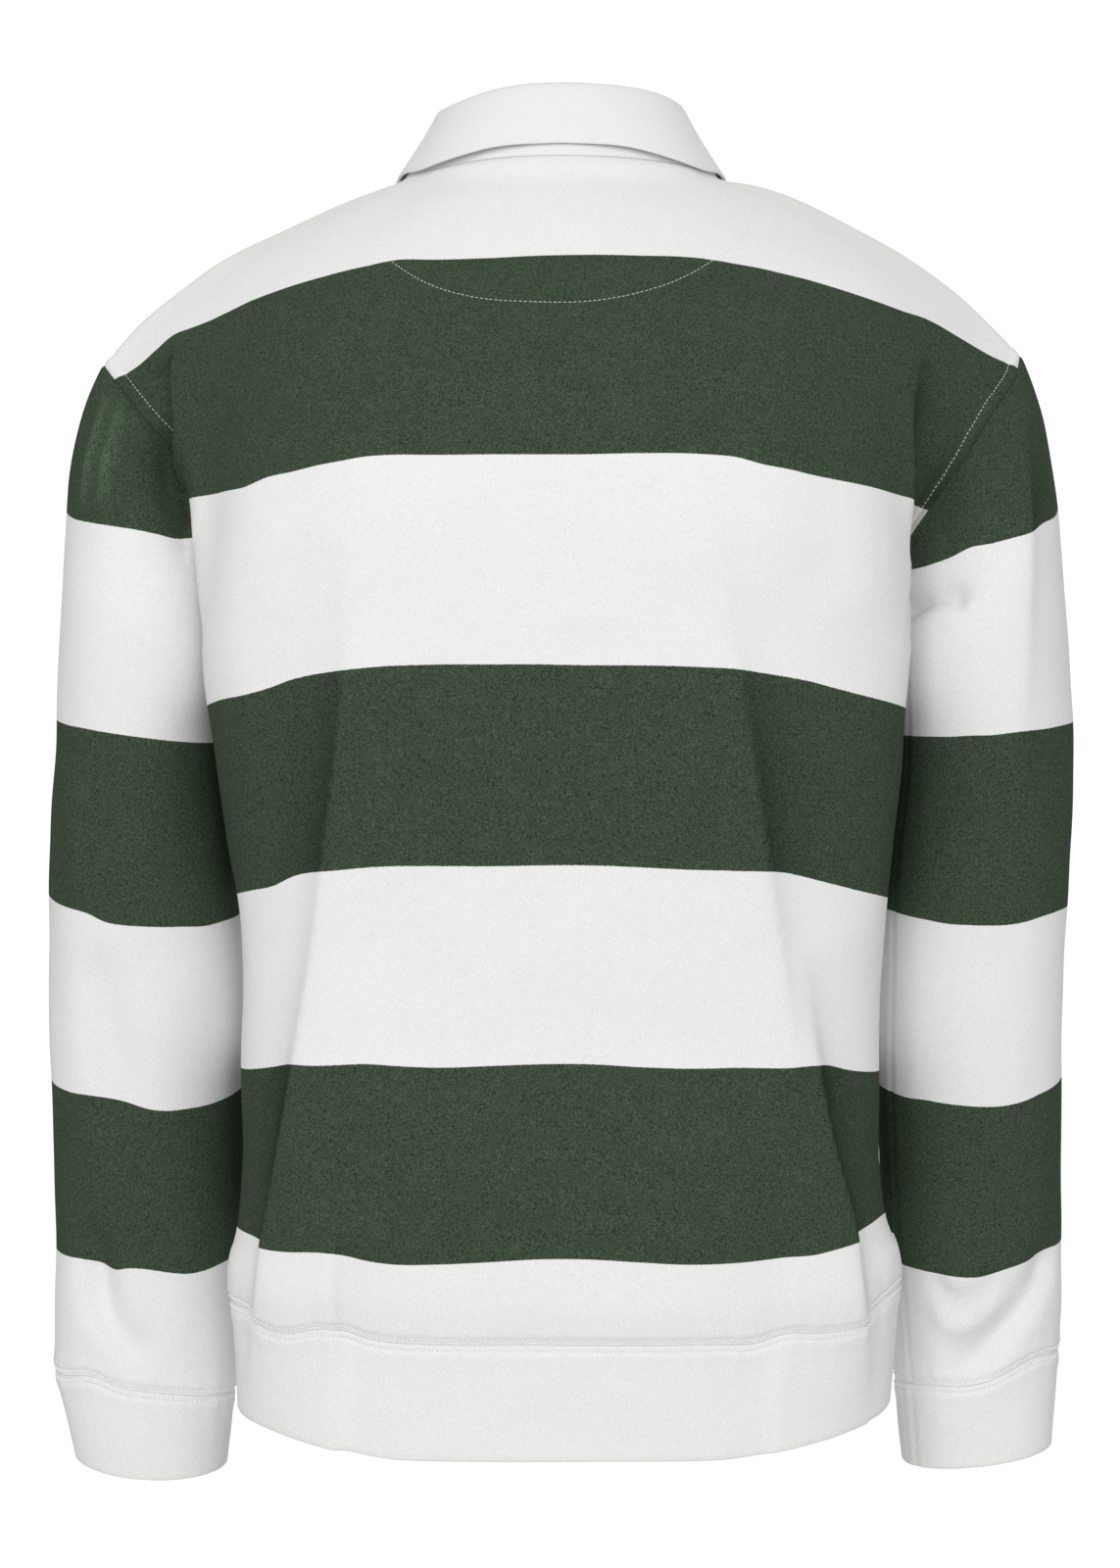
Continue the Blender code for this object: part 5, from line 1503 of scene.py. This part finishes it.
def button_resin(name):
    """Clouded, half-glossy resin."""
    material, tree, shader = new_material(name, 0.32, gloss=0.5)
    cloud = noise(tree, object_place(tree), (160, 160, 220), 3)
    shade = calc(tree, "MULTIPLY_ADD", cloud, 0.10, 0.95)
    tree.links.new(shaded(tree, RESIN_CREAM, shade), shader.inputs["Base Color"])
    rough = calc(tree, "MULTIPLY_ADD", noise(tree, object_place(tree), (900, 900, 900), 2), 0.2, 0.24)
    tree.links.new(rough, shader.inputs["Roughness"])
    return material


def pale_floor(name):
    """A pale floor that fades out round the shirt."""
    material, tree, shader = new_material(name, 0.8)
    grain = noise(tree, object_place(tree), (40, 40, 40), 3)
    shade = calc(tree, "MULTIPLY_ADD", grain, 0.02, 0.99)
    tree.links.new(shaded(tree, FLOOR_WHITE, shade), shader.inputs["Base Color"])
    shader.inputs["Emission Color"].default_value = (1, 1, 1, 1)
    shader.inputs["Emission Strength"].default_value = FLOOR_GLOW
    reach = node(tree, "ShaderNodeVectorMath", {0: object_place(tree)}, operation="LENGTH").outputs["Value"]
    span = {"From Min": FLOOR_FADES_FROM, "From Max": FLOOR_FADES_TO, "To Min": 1.0, "To Max": 0.0}
    values = {"Value": reach, **span}
    fade = node(tree, "ShaderNodeMapRange", values)
    tree.links.new(fade.outputs[0], shader.inputs["Alpha"])
    return material


# ---- collar ----
def neck_loop(back, front):
    """The neckline's points from the front centre by the left and the back to the right, and their turns."""
    middle = back.shape[1] // 2
    columns = NECK_COLUMNS
    left_front = front[-1, middle : middle + columns]
    left_back = back[-1, middle + 1 : middle + columns + 1][::-1]
    right_back = back[-1, middle - columns : middle][::-1]
    right_front = front[-1, middle - columns + 1 : middle + 1]
    loop = np.concatenate([left_front, left_back, back[-1, middle : middle + 1], right_back, right_front])
    loop[0, 0] += COLLAR_OPENING / 2
    loop[-1, 0] -= COLLAR_OPENING / 2
    reach = loop[:, 1] - NECK_SIDE_Y
    depth = np.where(reach > 0, NECK_BACK_Y - NECK_SIDE_Y, NECK_SIDE_Y - NECK_FRONT_Y)
    return loop, np.arctan2(loop[:, 0] / NECK_HALF, reach / depth)


def fold_line(turn):
    """The collar's fold, where the fall turns down over the stand."""
    cos = np.cos(turn)
    x = FOLD_HALF * np.sin(turn) + np.sign(turn) * COLLAR_OPENING / 2 * (np.abs(turn) > OPEN_END_TURN)
    y = np.where(cos > 0, FOLD_BACK_Y - FOLD_MID_Y, FOLD_MID_Y - FOLD_FRONT_Y) * cos + FOLD_MID_Y
    drop = np.where(cos > 0, FOLD_BACK_Z - FOLD_SIDE_Z, FOLD_FRONT_Z - FOLD_SIDE_Z)
    z = FOLD_SIDE_Z + drop * np.abs(cos) ** FOLD_DIP
    return np.stack([x, y, z + profile(x, FOLD_UNEVEN) * smoothstep(0, 0.3, cos)], axis=1)


def clear_of(tree, grid, lift):
    """Points that lie nearer to the body's cloth than the lift, or just inside it, move out to the lift."""
    result = grid.copy()
    for index in np.ndindex(grid.shape[:2]):
        place, normal, _, distance = tree.find_nearest(Vector(grid[index]))
        gap = Vector(grid[index]) - place
        out = gap.dot(normal)
        if distance < NEAR_CLOTH and out < lift:
            past_edge = (gap - normal * out).length
            result[index] += np.array(normal) * (lift - out) * (1 - smoothstep(*PAST_EDGE, past_edge))
    return result


def collar_grids(back, front, body_tree):
    """The collar's stand and fall."""
    loop, turn = neck_loop(back, front)
    shares = np.linspace(0, 1, STAND_ROWS + 1)[:, None, None]
    stand = (1 - shares) * loop[None] + shares * fold_line(turn)[None]
    places = np.arange(len(turn))
    fine_turn = np.interp(np.linspace(0, places[-1], 2 * places[-1] + 1), places, turn)
    fold = fold_line(fine_turn)
    edge = np.stack([read(FALL_EDGE, name, np.abs(fine_turn) / fine_turn[0]) for name in "xyz"], axis=1)
    edge[:, 0] *= np.sign(fine_turn)
    outward = unit((fold - (0, FOLD_MID_Y, 0)) * (1, 1, 0))
    up = np.array([0, 0, 1])
    rows = [fold + outward * out + up * lift for out, lift in CROWN]
    crown_end = rows[-1]
    slope = edge - crown_end
    leave = outward * FALL_LEAVES_OUT - up * FALL_LEAVES_DOWN
    leave *= np.linalg.norm(slope, axis=1, keepdims=True)
    rows += [hermite(crown_end, edge, leave, slope, share) for share in np.linspace(0, 1, FALL_ROWS + 1)[1:]]
    fall = clear_of(body_tree, clear_of(body_tree, np.array(rows), FALL_LIFT), FALL_LIFT)
    return stand, fall


# ---- placket and buttons ----
def strip(front, half, lift):
    """A placket strip on the front panel, from below the slit up to just under the neckline."""
    grid = front.grid
    lowest = BODY_ROWS - 1 - round(PLACKET_BELOW_SLIT / ROW)
    across = np.linspace(-half, half, PLACKET_COLUMNS + 1)
    rows = []
    for row in (*range(lowest, len(grid) - 1), len(grid) - 1 - PLACKET_BELOW_NECK):
        low = int(row)
        line = grid[low] + (grid[min(low + 1, len(grid) - 1)] - grid[low]) * (row - low)
        rows.append(np.stack([np.interp(across, line[:, 0], line[:, k]) for k in range(3)], axis=1))
    whole = BVHTree.FromPolygons(front.points.tolist(), grid_quads(*front.shape).tolist())
    out = np.array([[whole.find_nearest(Vector(p))[1] for p in row] for row in rows])
    return np.array(rows) + out * lift


def button_shape():
    """A four-hole button with a raised rim, as rings of points from its middle out and round its edge."""
    radius, thick = BUTTON_RADIUS, BUTTON_THICKNESS
    sides, rings = BUTTON_SIDES, BUTTON_RINGS
    face = np.linspace(0.04, 0.90, rings)
    outline = [(r, BUTTON_WELL + (1 - BUTTON_WELL) * smoothstep(0.62, 0.84, r)) for r in face]
    outline += [(0.96, 0.93), (1.0, 0.72), (1.0, 0.45), (0.94, 0.18), (0.80, 0.0), (0.40, 0.0)]
    points = []
    for number, (r, h) in enumerate(outline):
        for k in range(sides):
            angle = 2 * math.pi * k / sides
            x, y = r * radius * math.cos(angle), r * radius * math.sin(angle)
            pit = 0.0
            if number < rings:
                distance = math.hypot(abs(x) - HOLE_FROM_MIDDLE, abs(y) - HOLE_FROM_MIDDLE)
                pit = float(1 - smoothstep(HOLE_BOTTOM, HOLE_TOP, distance))
            points.append((x, y, h * thick - pit * HOLE_DEPTH))
    points += [(0, 0, BUTTON_WELL * thick), (0, 0, 0)]
    faces = grid_quads(len(outline), sides, wrap=True, flip=True).tolist()
    top, bottom = len(points) - 2, len(points) - 1
    last = (len(outline) - 1) * sides
    for k in range(sides):
        n = (k + 1) % sides
        faces.append((k, n, top))
        faces.append((last + n, last + k, bottom))
    return np.array(points), faces


def button_object(number, shape, turn_to, seat, material):
    """A button turned to face out of the cloth, on its seat."""
    points, faces = shape
    mesh = bpy.data.meshes.new(f"button_{number}_resin")
    mesh.from_pydata((points @ turn_to.T + seat).tolist(), [], faces)
    mesh.materials.append(material)
    mesh.shade_smooth()
    obj = placed(mesh.name, mesh)
    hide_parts(f"button_{number}")
    return obj


def button_threads(over_tree, level, normal, turn_to, seat):
    """The thread over a button's four holes, and its buttonhole's two rows of stitches."""
    rows = []
    for x in (-HOLE_FROM_MIDDLE, HOLE_FROM_MIDDLE):
        ends = np.array([(x, y, THREAD_LEVEL) for y in (-THREAD_HALF, 0, THREAD_HALF)]) @ turn_to.T + seat
        for shift in (-THREAD_APART, THREAD_APART):
            rows.append(stitch_row(ends + (shift, 0, 0), np.tile(normal, (3, 1)), BUTTON_STITCH, seed=51))
    for x in (-BUTTONHOLE_APART, BUTTONHOLE_APART):
        levels = level + np.linspace(-BUTTONHOLE_HALF, BUTTONHOLE_HALF, 12)
        line = [over_tree.ray_cast(Vector((x, -1, z)), Vector((0, 1, 0)))[0] for z in levels]
        rows.append(stitch_row(np.array(line), np.tile(normal, (12, 1)), BUTTONHOLE_STITCH, 1.57, seed=52))
    return rows


# ---- seams' stitching ----
def closed(line, ways):
    """A line round a piece, with its first point again at its end."""
    return np.concatenate([line, line[:1]]), np.concatenate([ways, ways[:1]])


def cover_rows(above, below):
    """The cover seam's two rows, one on each side of the seam, as small slanted ladder stitches."""
    rows = []
    for seed, (grid, out) in enumerate((above, below), 20):
        line, line_ways = closed(*edge_line(grid, out, COVER_FROM_SEAM))
        for slant, skip in ((COVER_SLANT, 0.0), (-COVER_SLANT, COVER_STITCH[0] / 4)):
            rows.append(stitch_row(line, line_ways, COVER_STITCH, slant, skip, seed))
    return rows


def armhole_rows(side):
    """The topstitch beside an armhole, on the back and on the front."""
    high, turned = slice(-ARMHOLE_ROWS - 1, None), BOTH_WAYS[side == "left"]
    rows = []
    for name in ("back", "front"):
        fields = (pieces[name].grid, way_grid(name))
        beside = (field[high, turned].transpose(1, 0, 2)[:26] for field in fields)
        line, line_ways = edge_line(*beside, TOP_FROM_SEAM)
        parts = [slice(None)]
        if (name, side) == ("back", "left"):
            parts = [line[:, 2] < UNDER_FOLD[0], line[:, 2] > UNDER_FOLD[1]]
        rows += [stitch_row(line[part], line_ways[part], TOP_STITCH, skip=0.004, seed=31) for part in parts]
    return rows


def way_grid(name):
    """The way out of a piece's cloth, as a grid."""
    return ways[name].reshape(*pieces[name].shape, 3)


def near_seam(name, order=slice(None)):
    """A piece's twelve rows nearest to its seam, and the way out at each point."""
    return pieces[name].grid[order][:12], way_grid(name)[order][:12]


# ---- the cloth pieces ----
HOOPS, NAP, TWILL = hoops_group(), nap_group(), twill_group()
body_fleece = hooped_fleece("hooped_fleece_body", FIRST_STRIPE)
sleeve_fleece = hooped_fleece("hooped_fleece_sleeve", SLEEVE_FIRST_STRIPE)
band_fleece = plain_fleece("white_fleece_band")
twill = white_twill("white_twill")
white_thread = cotton_thread("white_thread", THREAD_WHITE)
resin = button_resin("button_resin")

grids = {face: body_panel(face) for face in ("back", "front")}
heights = {
    face: with_wander(BODY_WANDER, grid, body_heights(grid), FIRST_STRIPE) for face, grid in grids.items()
}
middle = grids["front"].shape[1] // 2
quad_rows, quad_columns = np.indices((grids["front"].shape[0] - 1, 2 * middle)).reshape(2, -1)
in_slit = (quad_columns >= middle - SLIT_COLUMNS) & (quad_columns < middle + SLIT_COLUMNS)
slit = (quad_rows >= BODY_ROWS - 1) & in_slit
hem_seam = np.concatenate([grids["back"][0], grids["front"][0, ::-1][1:-1]])
pieces = {
    "back": Cloth(grids["back"], "body", FLEECE_WALL, heights["back"], flip=True),
    "front": Cloth(grids["front"], "body", FLEECE_WALL, heights["front"], holes=slit),
    "hem_band": Cloth(between_rings(hem_seam, band_ring()), "body", BAND_WALL, wrap=True),
}
cuffs = {}
for side, sign, wander, cuff_end in (
    ("left", 1, LEFT_WANDER, CUFF_END_LEFT),
    ("right", -1, RIGHT_WANDER, CUFF_END_RIGHT),
):
    grid, cloth_heights = sleeve_grid(sign, grids["back"], grids["front"])
    cloth_heights = with_wander(wander, grid, cloth_heights, SLEEVE_FIRST_STRIPE)
    flip = side == "left"
    pieces["sleeve_" + side] = Cloth(grid, side, FLEECE_WALL, cloth_heights, wrap=True, flip=flip)
    cuff = between_rings(grid[-1], arm_ring(cuff_end, sign))
    cuffs["cuff_" + side] = Cloth(cuff, side, BAND_WALL, wrap=True, flip=flip)
pieces.update(cuffs)
sewn = sewn_points(pieces)
ways = seam_ways(pieces, sewn)
trees = {
    group: tree_of(*(piece for piece in pieces.values() if piece.group in group.split()))
    for group in ("body", "left", "right", "body left", "body right")
}

relief, painted_light, slips = (
    {name: np.zeros(len(piece.points)) for name, piece in pieces.items()} for _ in range(3)
)
for view, group, near, far, height, sharp, places in CREASES:
    line, line_ways = laid_line(trees[group], view, places, 26)
    for name, piece in pieces.items():
        if piece.group in group.split():
            crease = crease_relief(piece.points, line, line_ways, near, far, height, sharp)
            relief[name] += crease
            # Narrow creases paint the cloth too: a painted highlight where they are raised, painted shade
            # where they are sunk.
            if far < NARROW_CREASE:
                painted_light[name] += crease / abs(height)
for view, group, away, rows in FOLDS:
    line, line_ways = laid_line(trees[group], view, np.stack([rows["x"], rows["z"]], axis=1), 60)
    for name, piece in pieces.items():
        if piece.group in group.split():
            height, slip, shade = fold_relief(piece.points, line, line_ways, away, rows)
            relief[name] += height
            slips[name] += slip
            # Past each fold's ridge the cloth is painted darker, as shade.
            painted_light[name] -= shade
for name, piece in pieces.items():
    # The place's third value holds the painted highlight and painted shade of folds and creases.
    piece.place[:, 2] = np.clip(painted_light[name], -1, 1)
    relief[name] += sum(height * waves(piece.points, size, seed) for height, size, seed in UNEVEN)
    relief[name] += seam_relief(name, piece.grid).ravel()
    for group, x, z, wide, tall, up in zip(*SAGS.values()):
        if piece.group == GROUPS[int(group)]:
            spot = ((piece.points[:, 0] - x) / wide) ** 2 + ((piece.points[:, 2] - z) / tall) ** 2
            slips[name] += up * np.exp(-spot)
line, line_ways = laid_line(trees["body"], "back", HALF_MOON, 90)
relief["back"] += crease_relief(pieces["back"].points, line, line_ways, *MOON_RIDGE)

share_on_seams(relief, sewn)
share_on_seams(slips, sewn)
for name, piece in pieces.items():
    piece.points += pushed(piece.points) + ways[name] * relief[name][:, None]
    piece.points[:, 2] += slips[name]
ways = seam_ways(pieces, sewn)
body_tree = tree_of(pieces["back"], pieces["front"])

FINISH = {
    "back": (body_fleece, "body_cloth"),
    "front": (body_fleece, "body_cloth"),
    "hem_band": (band_fleece, "band_cloth"),
    "sleeve_left": (sleeve_fleece, "sleeve_cloth"),
    "sleeve_right": (sleeve_fleece, "sleeve_cloth"),
    "cuff_left": (band_fleece, "band_cloth"),
    "cuff_right": (band_fleece, "band_cloth"),
}
made = {name: cloth_object(name, pieces[name], ways[name], sewn, *finish) for name, finish in FINISH.items()}

stand, fall = collar_grids(pieces["back"].grid, pieces["front"].grid, body_tree)
twill_pieces = {
    "collar_stand": Cloth(stand, "stand", TWILL_WALL),
    "collar_fall": Cloth(fall, "fall", FALL_WALL, flip=True),
    "placket_over": Cloth(strip(pieces["front"], PLACKET_OVER_HALF, OVER_LIFT), "over", PLACKET_WALL),
    "placket_under": Cloth(strip(pieces["front"], PLACKET_UNDER_HALF, UNDER_LIFT), "under", PLACKET_WALL),
}
for name, piece in twill_pieces.items():
    pieces[name], ways[name] = piece, piece.ways()
    made[name] = cloth_object(name, piece, ways[name], sewn, twill, "twill")

# ---- stitching and buttons ----
body_low = [
    np.concatenate([back, front[:, ::-1][:, 1:-1]], axis=1)
    for back, front in zip(near_seam("back"), near_seam("front"))
]
rows = cover_rows(body_low, near_seam("hem_band"))
trim = {"hem": stitches("hem_stitching", rows, white_thread)}
for side in ("left", "right"):
    rows = cover_rows(near_seam("sleeve_" + side, BOTH_WAYS[1]), near_seam("cuff_" + side))
    trim["cuff_" + side] = stitches("cuff_stitching_" + side, rows, white_thread)
    label = "armhole_stitching_" + side
    trim["armhole_" + side] = stitches(label, armhole_rows(side), white_thread)
line, line_ways = laid_line(body_tree, "back", HALF_MOON, 400)
rows = [stitch_row(line, line_ways, MOON_STITCH, skip=0.001, seed=41)]
trim["moon"] = stitches("half_moon_stitching", rows, white_thread)

over_tree = tree_of(pieces["placket_over"])
shape = button_shape()
rows = []
for number, level in enumerate(BUTTON_LEVELS, 1):
    place, normal, *_ = over_tree.ray_cast(Vector((0, -1, level)), Vector((0, 1, 0)))
    turn_to = np.array(Vector((0, 0, 1)).rotation_difference(normal).to_matrix())
    seat = np.array(place) + np.array(normal) * BUTTON_STANDS_OFF
    trim[f"button_{number}"] = button_object(number, shape, turn_to, seat, resin)
    rows += button_threads(over_tree, level, np.array(normal), turn_to, seat)
trim["thread"] = stitches("button_thread", rows, white_thread)

over_grid, over_ways = pieces["placket_over"].grid, way_grid("placket_over")
rows = []
for turned in BOTH_WAYS:
    side_grids = (field[:, turned].transpose(1, 0, 2) for field in (over_grid, over_ways))
    rows.append(stitch_row(*edge_line(*side_grids, EDGE_FROM_EDGE), EDGE_STITCH, skip=0.002, seed=61))
for distance in (EDGE_FROM_EDGE, BOX_FROM_END):
    rows.append(stitch_row(*edge_line(over_grid, over_ways, distance), EDGE_STITCH, skip=0.002, seed=62))
trim["placket"] = stitches("placket_stitching", rows, white_thread)

# ---- floor, light, camera ----
FLOOR_LEVEL = -0.715
FLOOR_RADIUS = 0.75
FLOOR_SIDES = 96
LIGHT_AIM = (0, 0, -0.34)
LIGHT_SIZE = 4.4
SKY_STRENGTH = 0.57
SKY_SEEN_STRENGTH = 1.05
CAMERA_PLACE = (0.0008, 2.2, -0.321)
CAMERA_LENS = 95.19


def soft_light(name, place, power):
    """A wide square light that faces the shirt."""
    light = bpy.data.lights.new(name, "AREA")
    light.shape, light.size, light.energy = "SQUARE", LIGHT_SIZE, power
    obj = bpy.data.objects.new(name, light)
    obj.location = place
    obj.rotation_euler = (Vector(LIGHT_AIM) - Vector(place)).to_track_quat("-Z", "Y").to_euler()
    bpy.context.scene.collection.objects.link(obj)


turns = np.linspace(0, 2 * math.pi, FLOOR_SIDES + 1)[:-1]
rim = [(FLOOR_RADIUS * math.cos(turn), FLOOR_RADIUS * math.sin(turn), FLOOR_LEVEL) for turn in turns]
floor_mesh = bpy.data.meshes.new("floor")
floor_mesh.from_pydata(rim, [], [tuple(range(FLOOR_SIDES))])
floor_mesh.materials.append(pale_floor("pale_floor"))
floor = bpy.data.objects.new("floor", floor_mesh)
bpy.context.scene.collection.objects.link(floor)

soft_light("key_light", (0.6, 7.0, 1.9), 285)
soft_light("front_light", (-0.9, -7.0, 2.2), 170)

world = bpy.data.worlds.new("studio")
world.use_nodes = True
bpy.context.scene.world = world
sky = world.node_tree
background = sky.nodes["Background"]
background.inputs["Color"].default_value = (1, 1, 1, 1)
seen = node(sky, "ShaderNodeLightPath").outputs["Is Camera Ray"]
strength = calc(sky, "MULTIPLY_ADD", seen, SKY_SEEN_STRENGTH - SKY_STRENGTH, SKY_STRENGTH)
sky.links.new(strength, background.inputs["Strength"])

camera_data = bpy.data.cameras.new("camera")
camera_data.lens = CAMERA_LENS
camera = bpy.data.objects.new("camera", camera_data)
camera.location = CAMERA_PLACE
camera.rotation_euler = (math.pi / 2, 0, math.pi)
bpy.context.scene.collection.objects.link(camera)
bpy.context.scene.camera = camera
bpy.context.scene.view_settings.view_transform = "Standard"
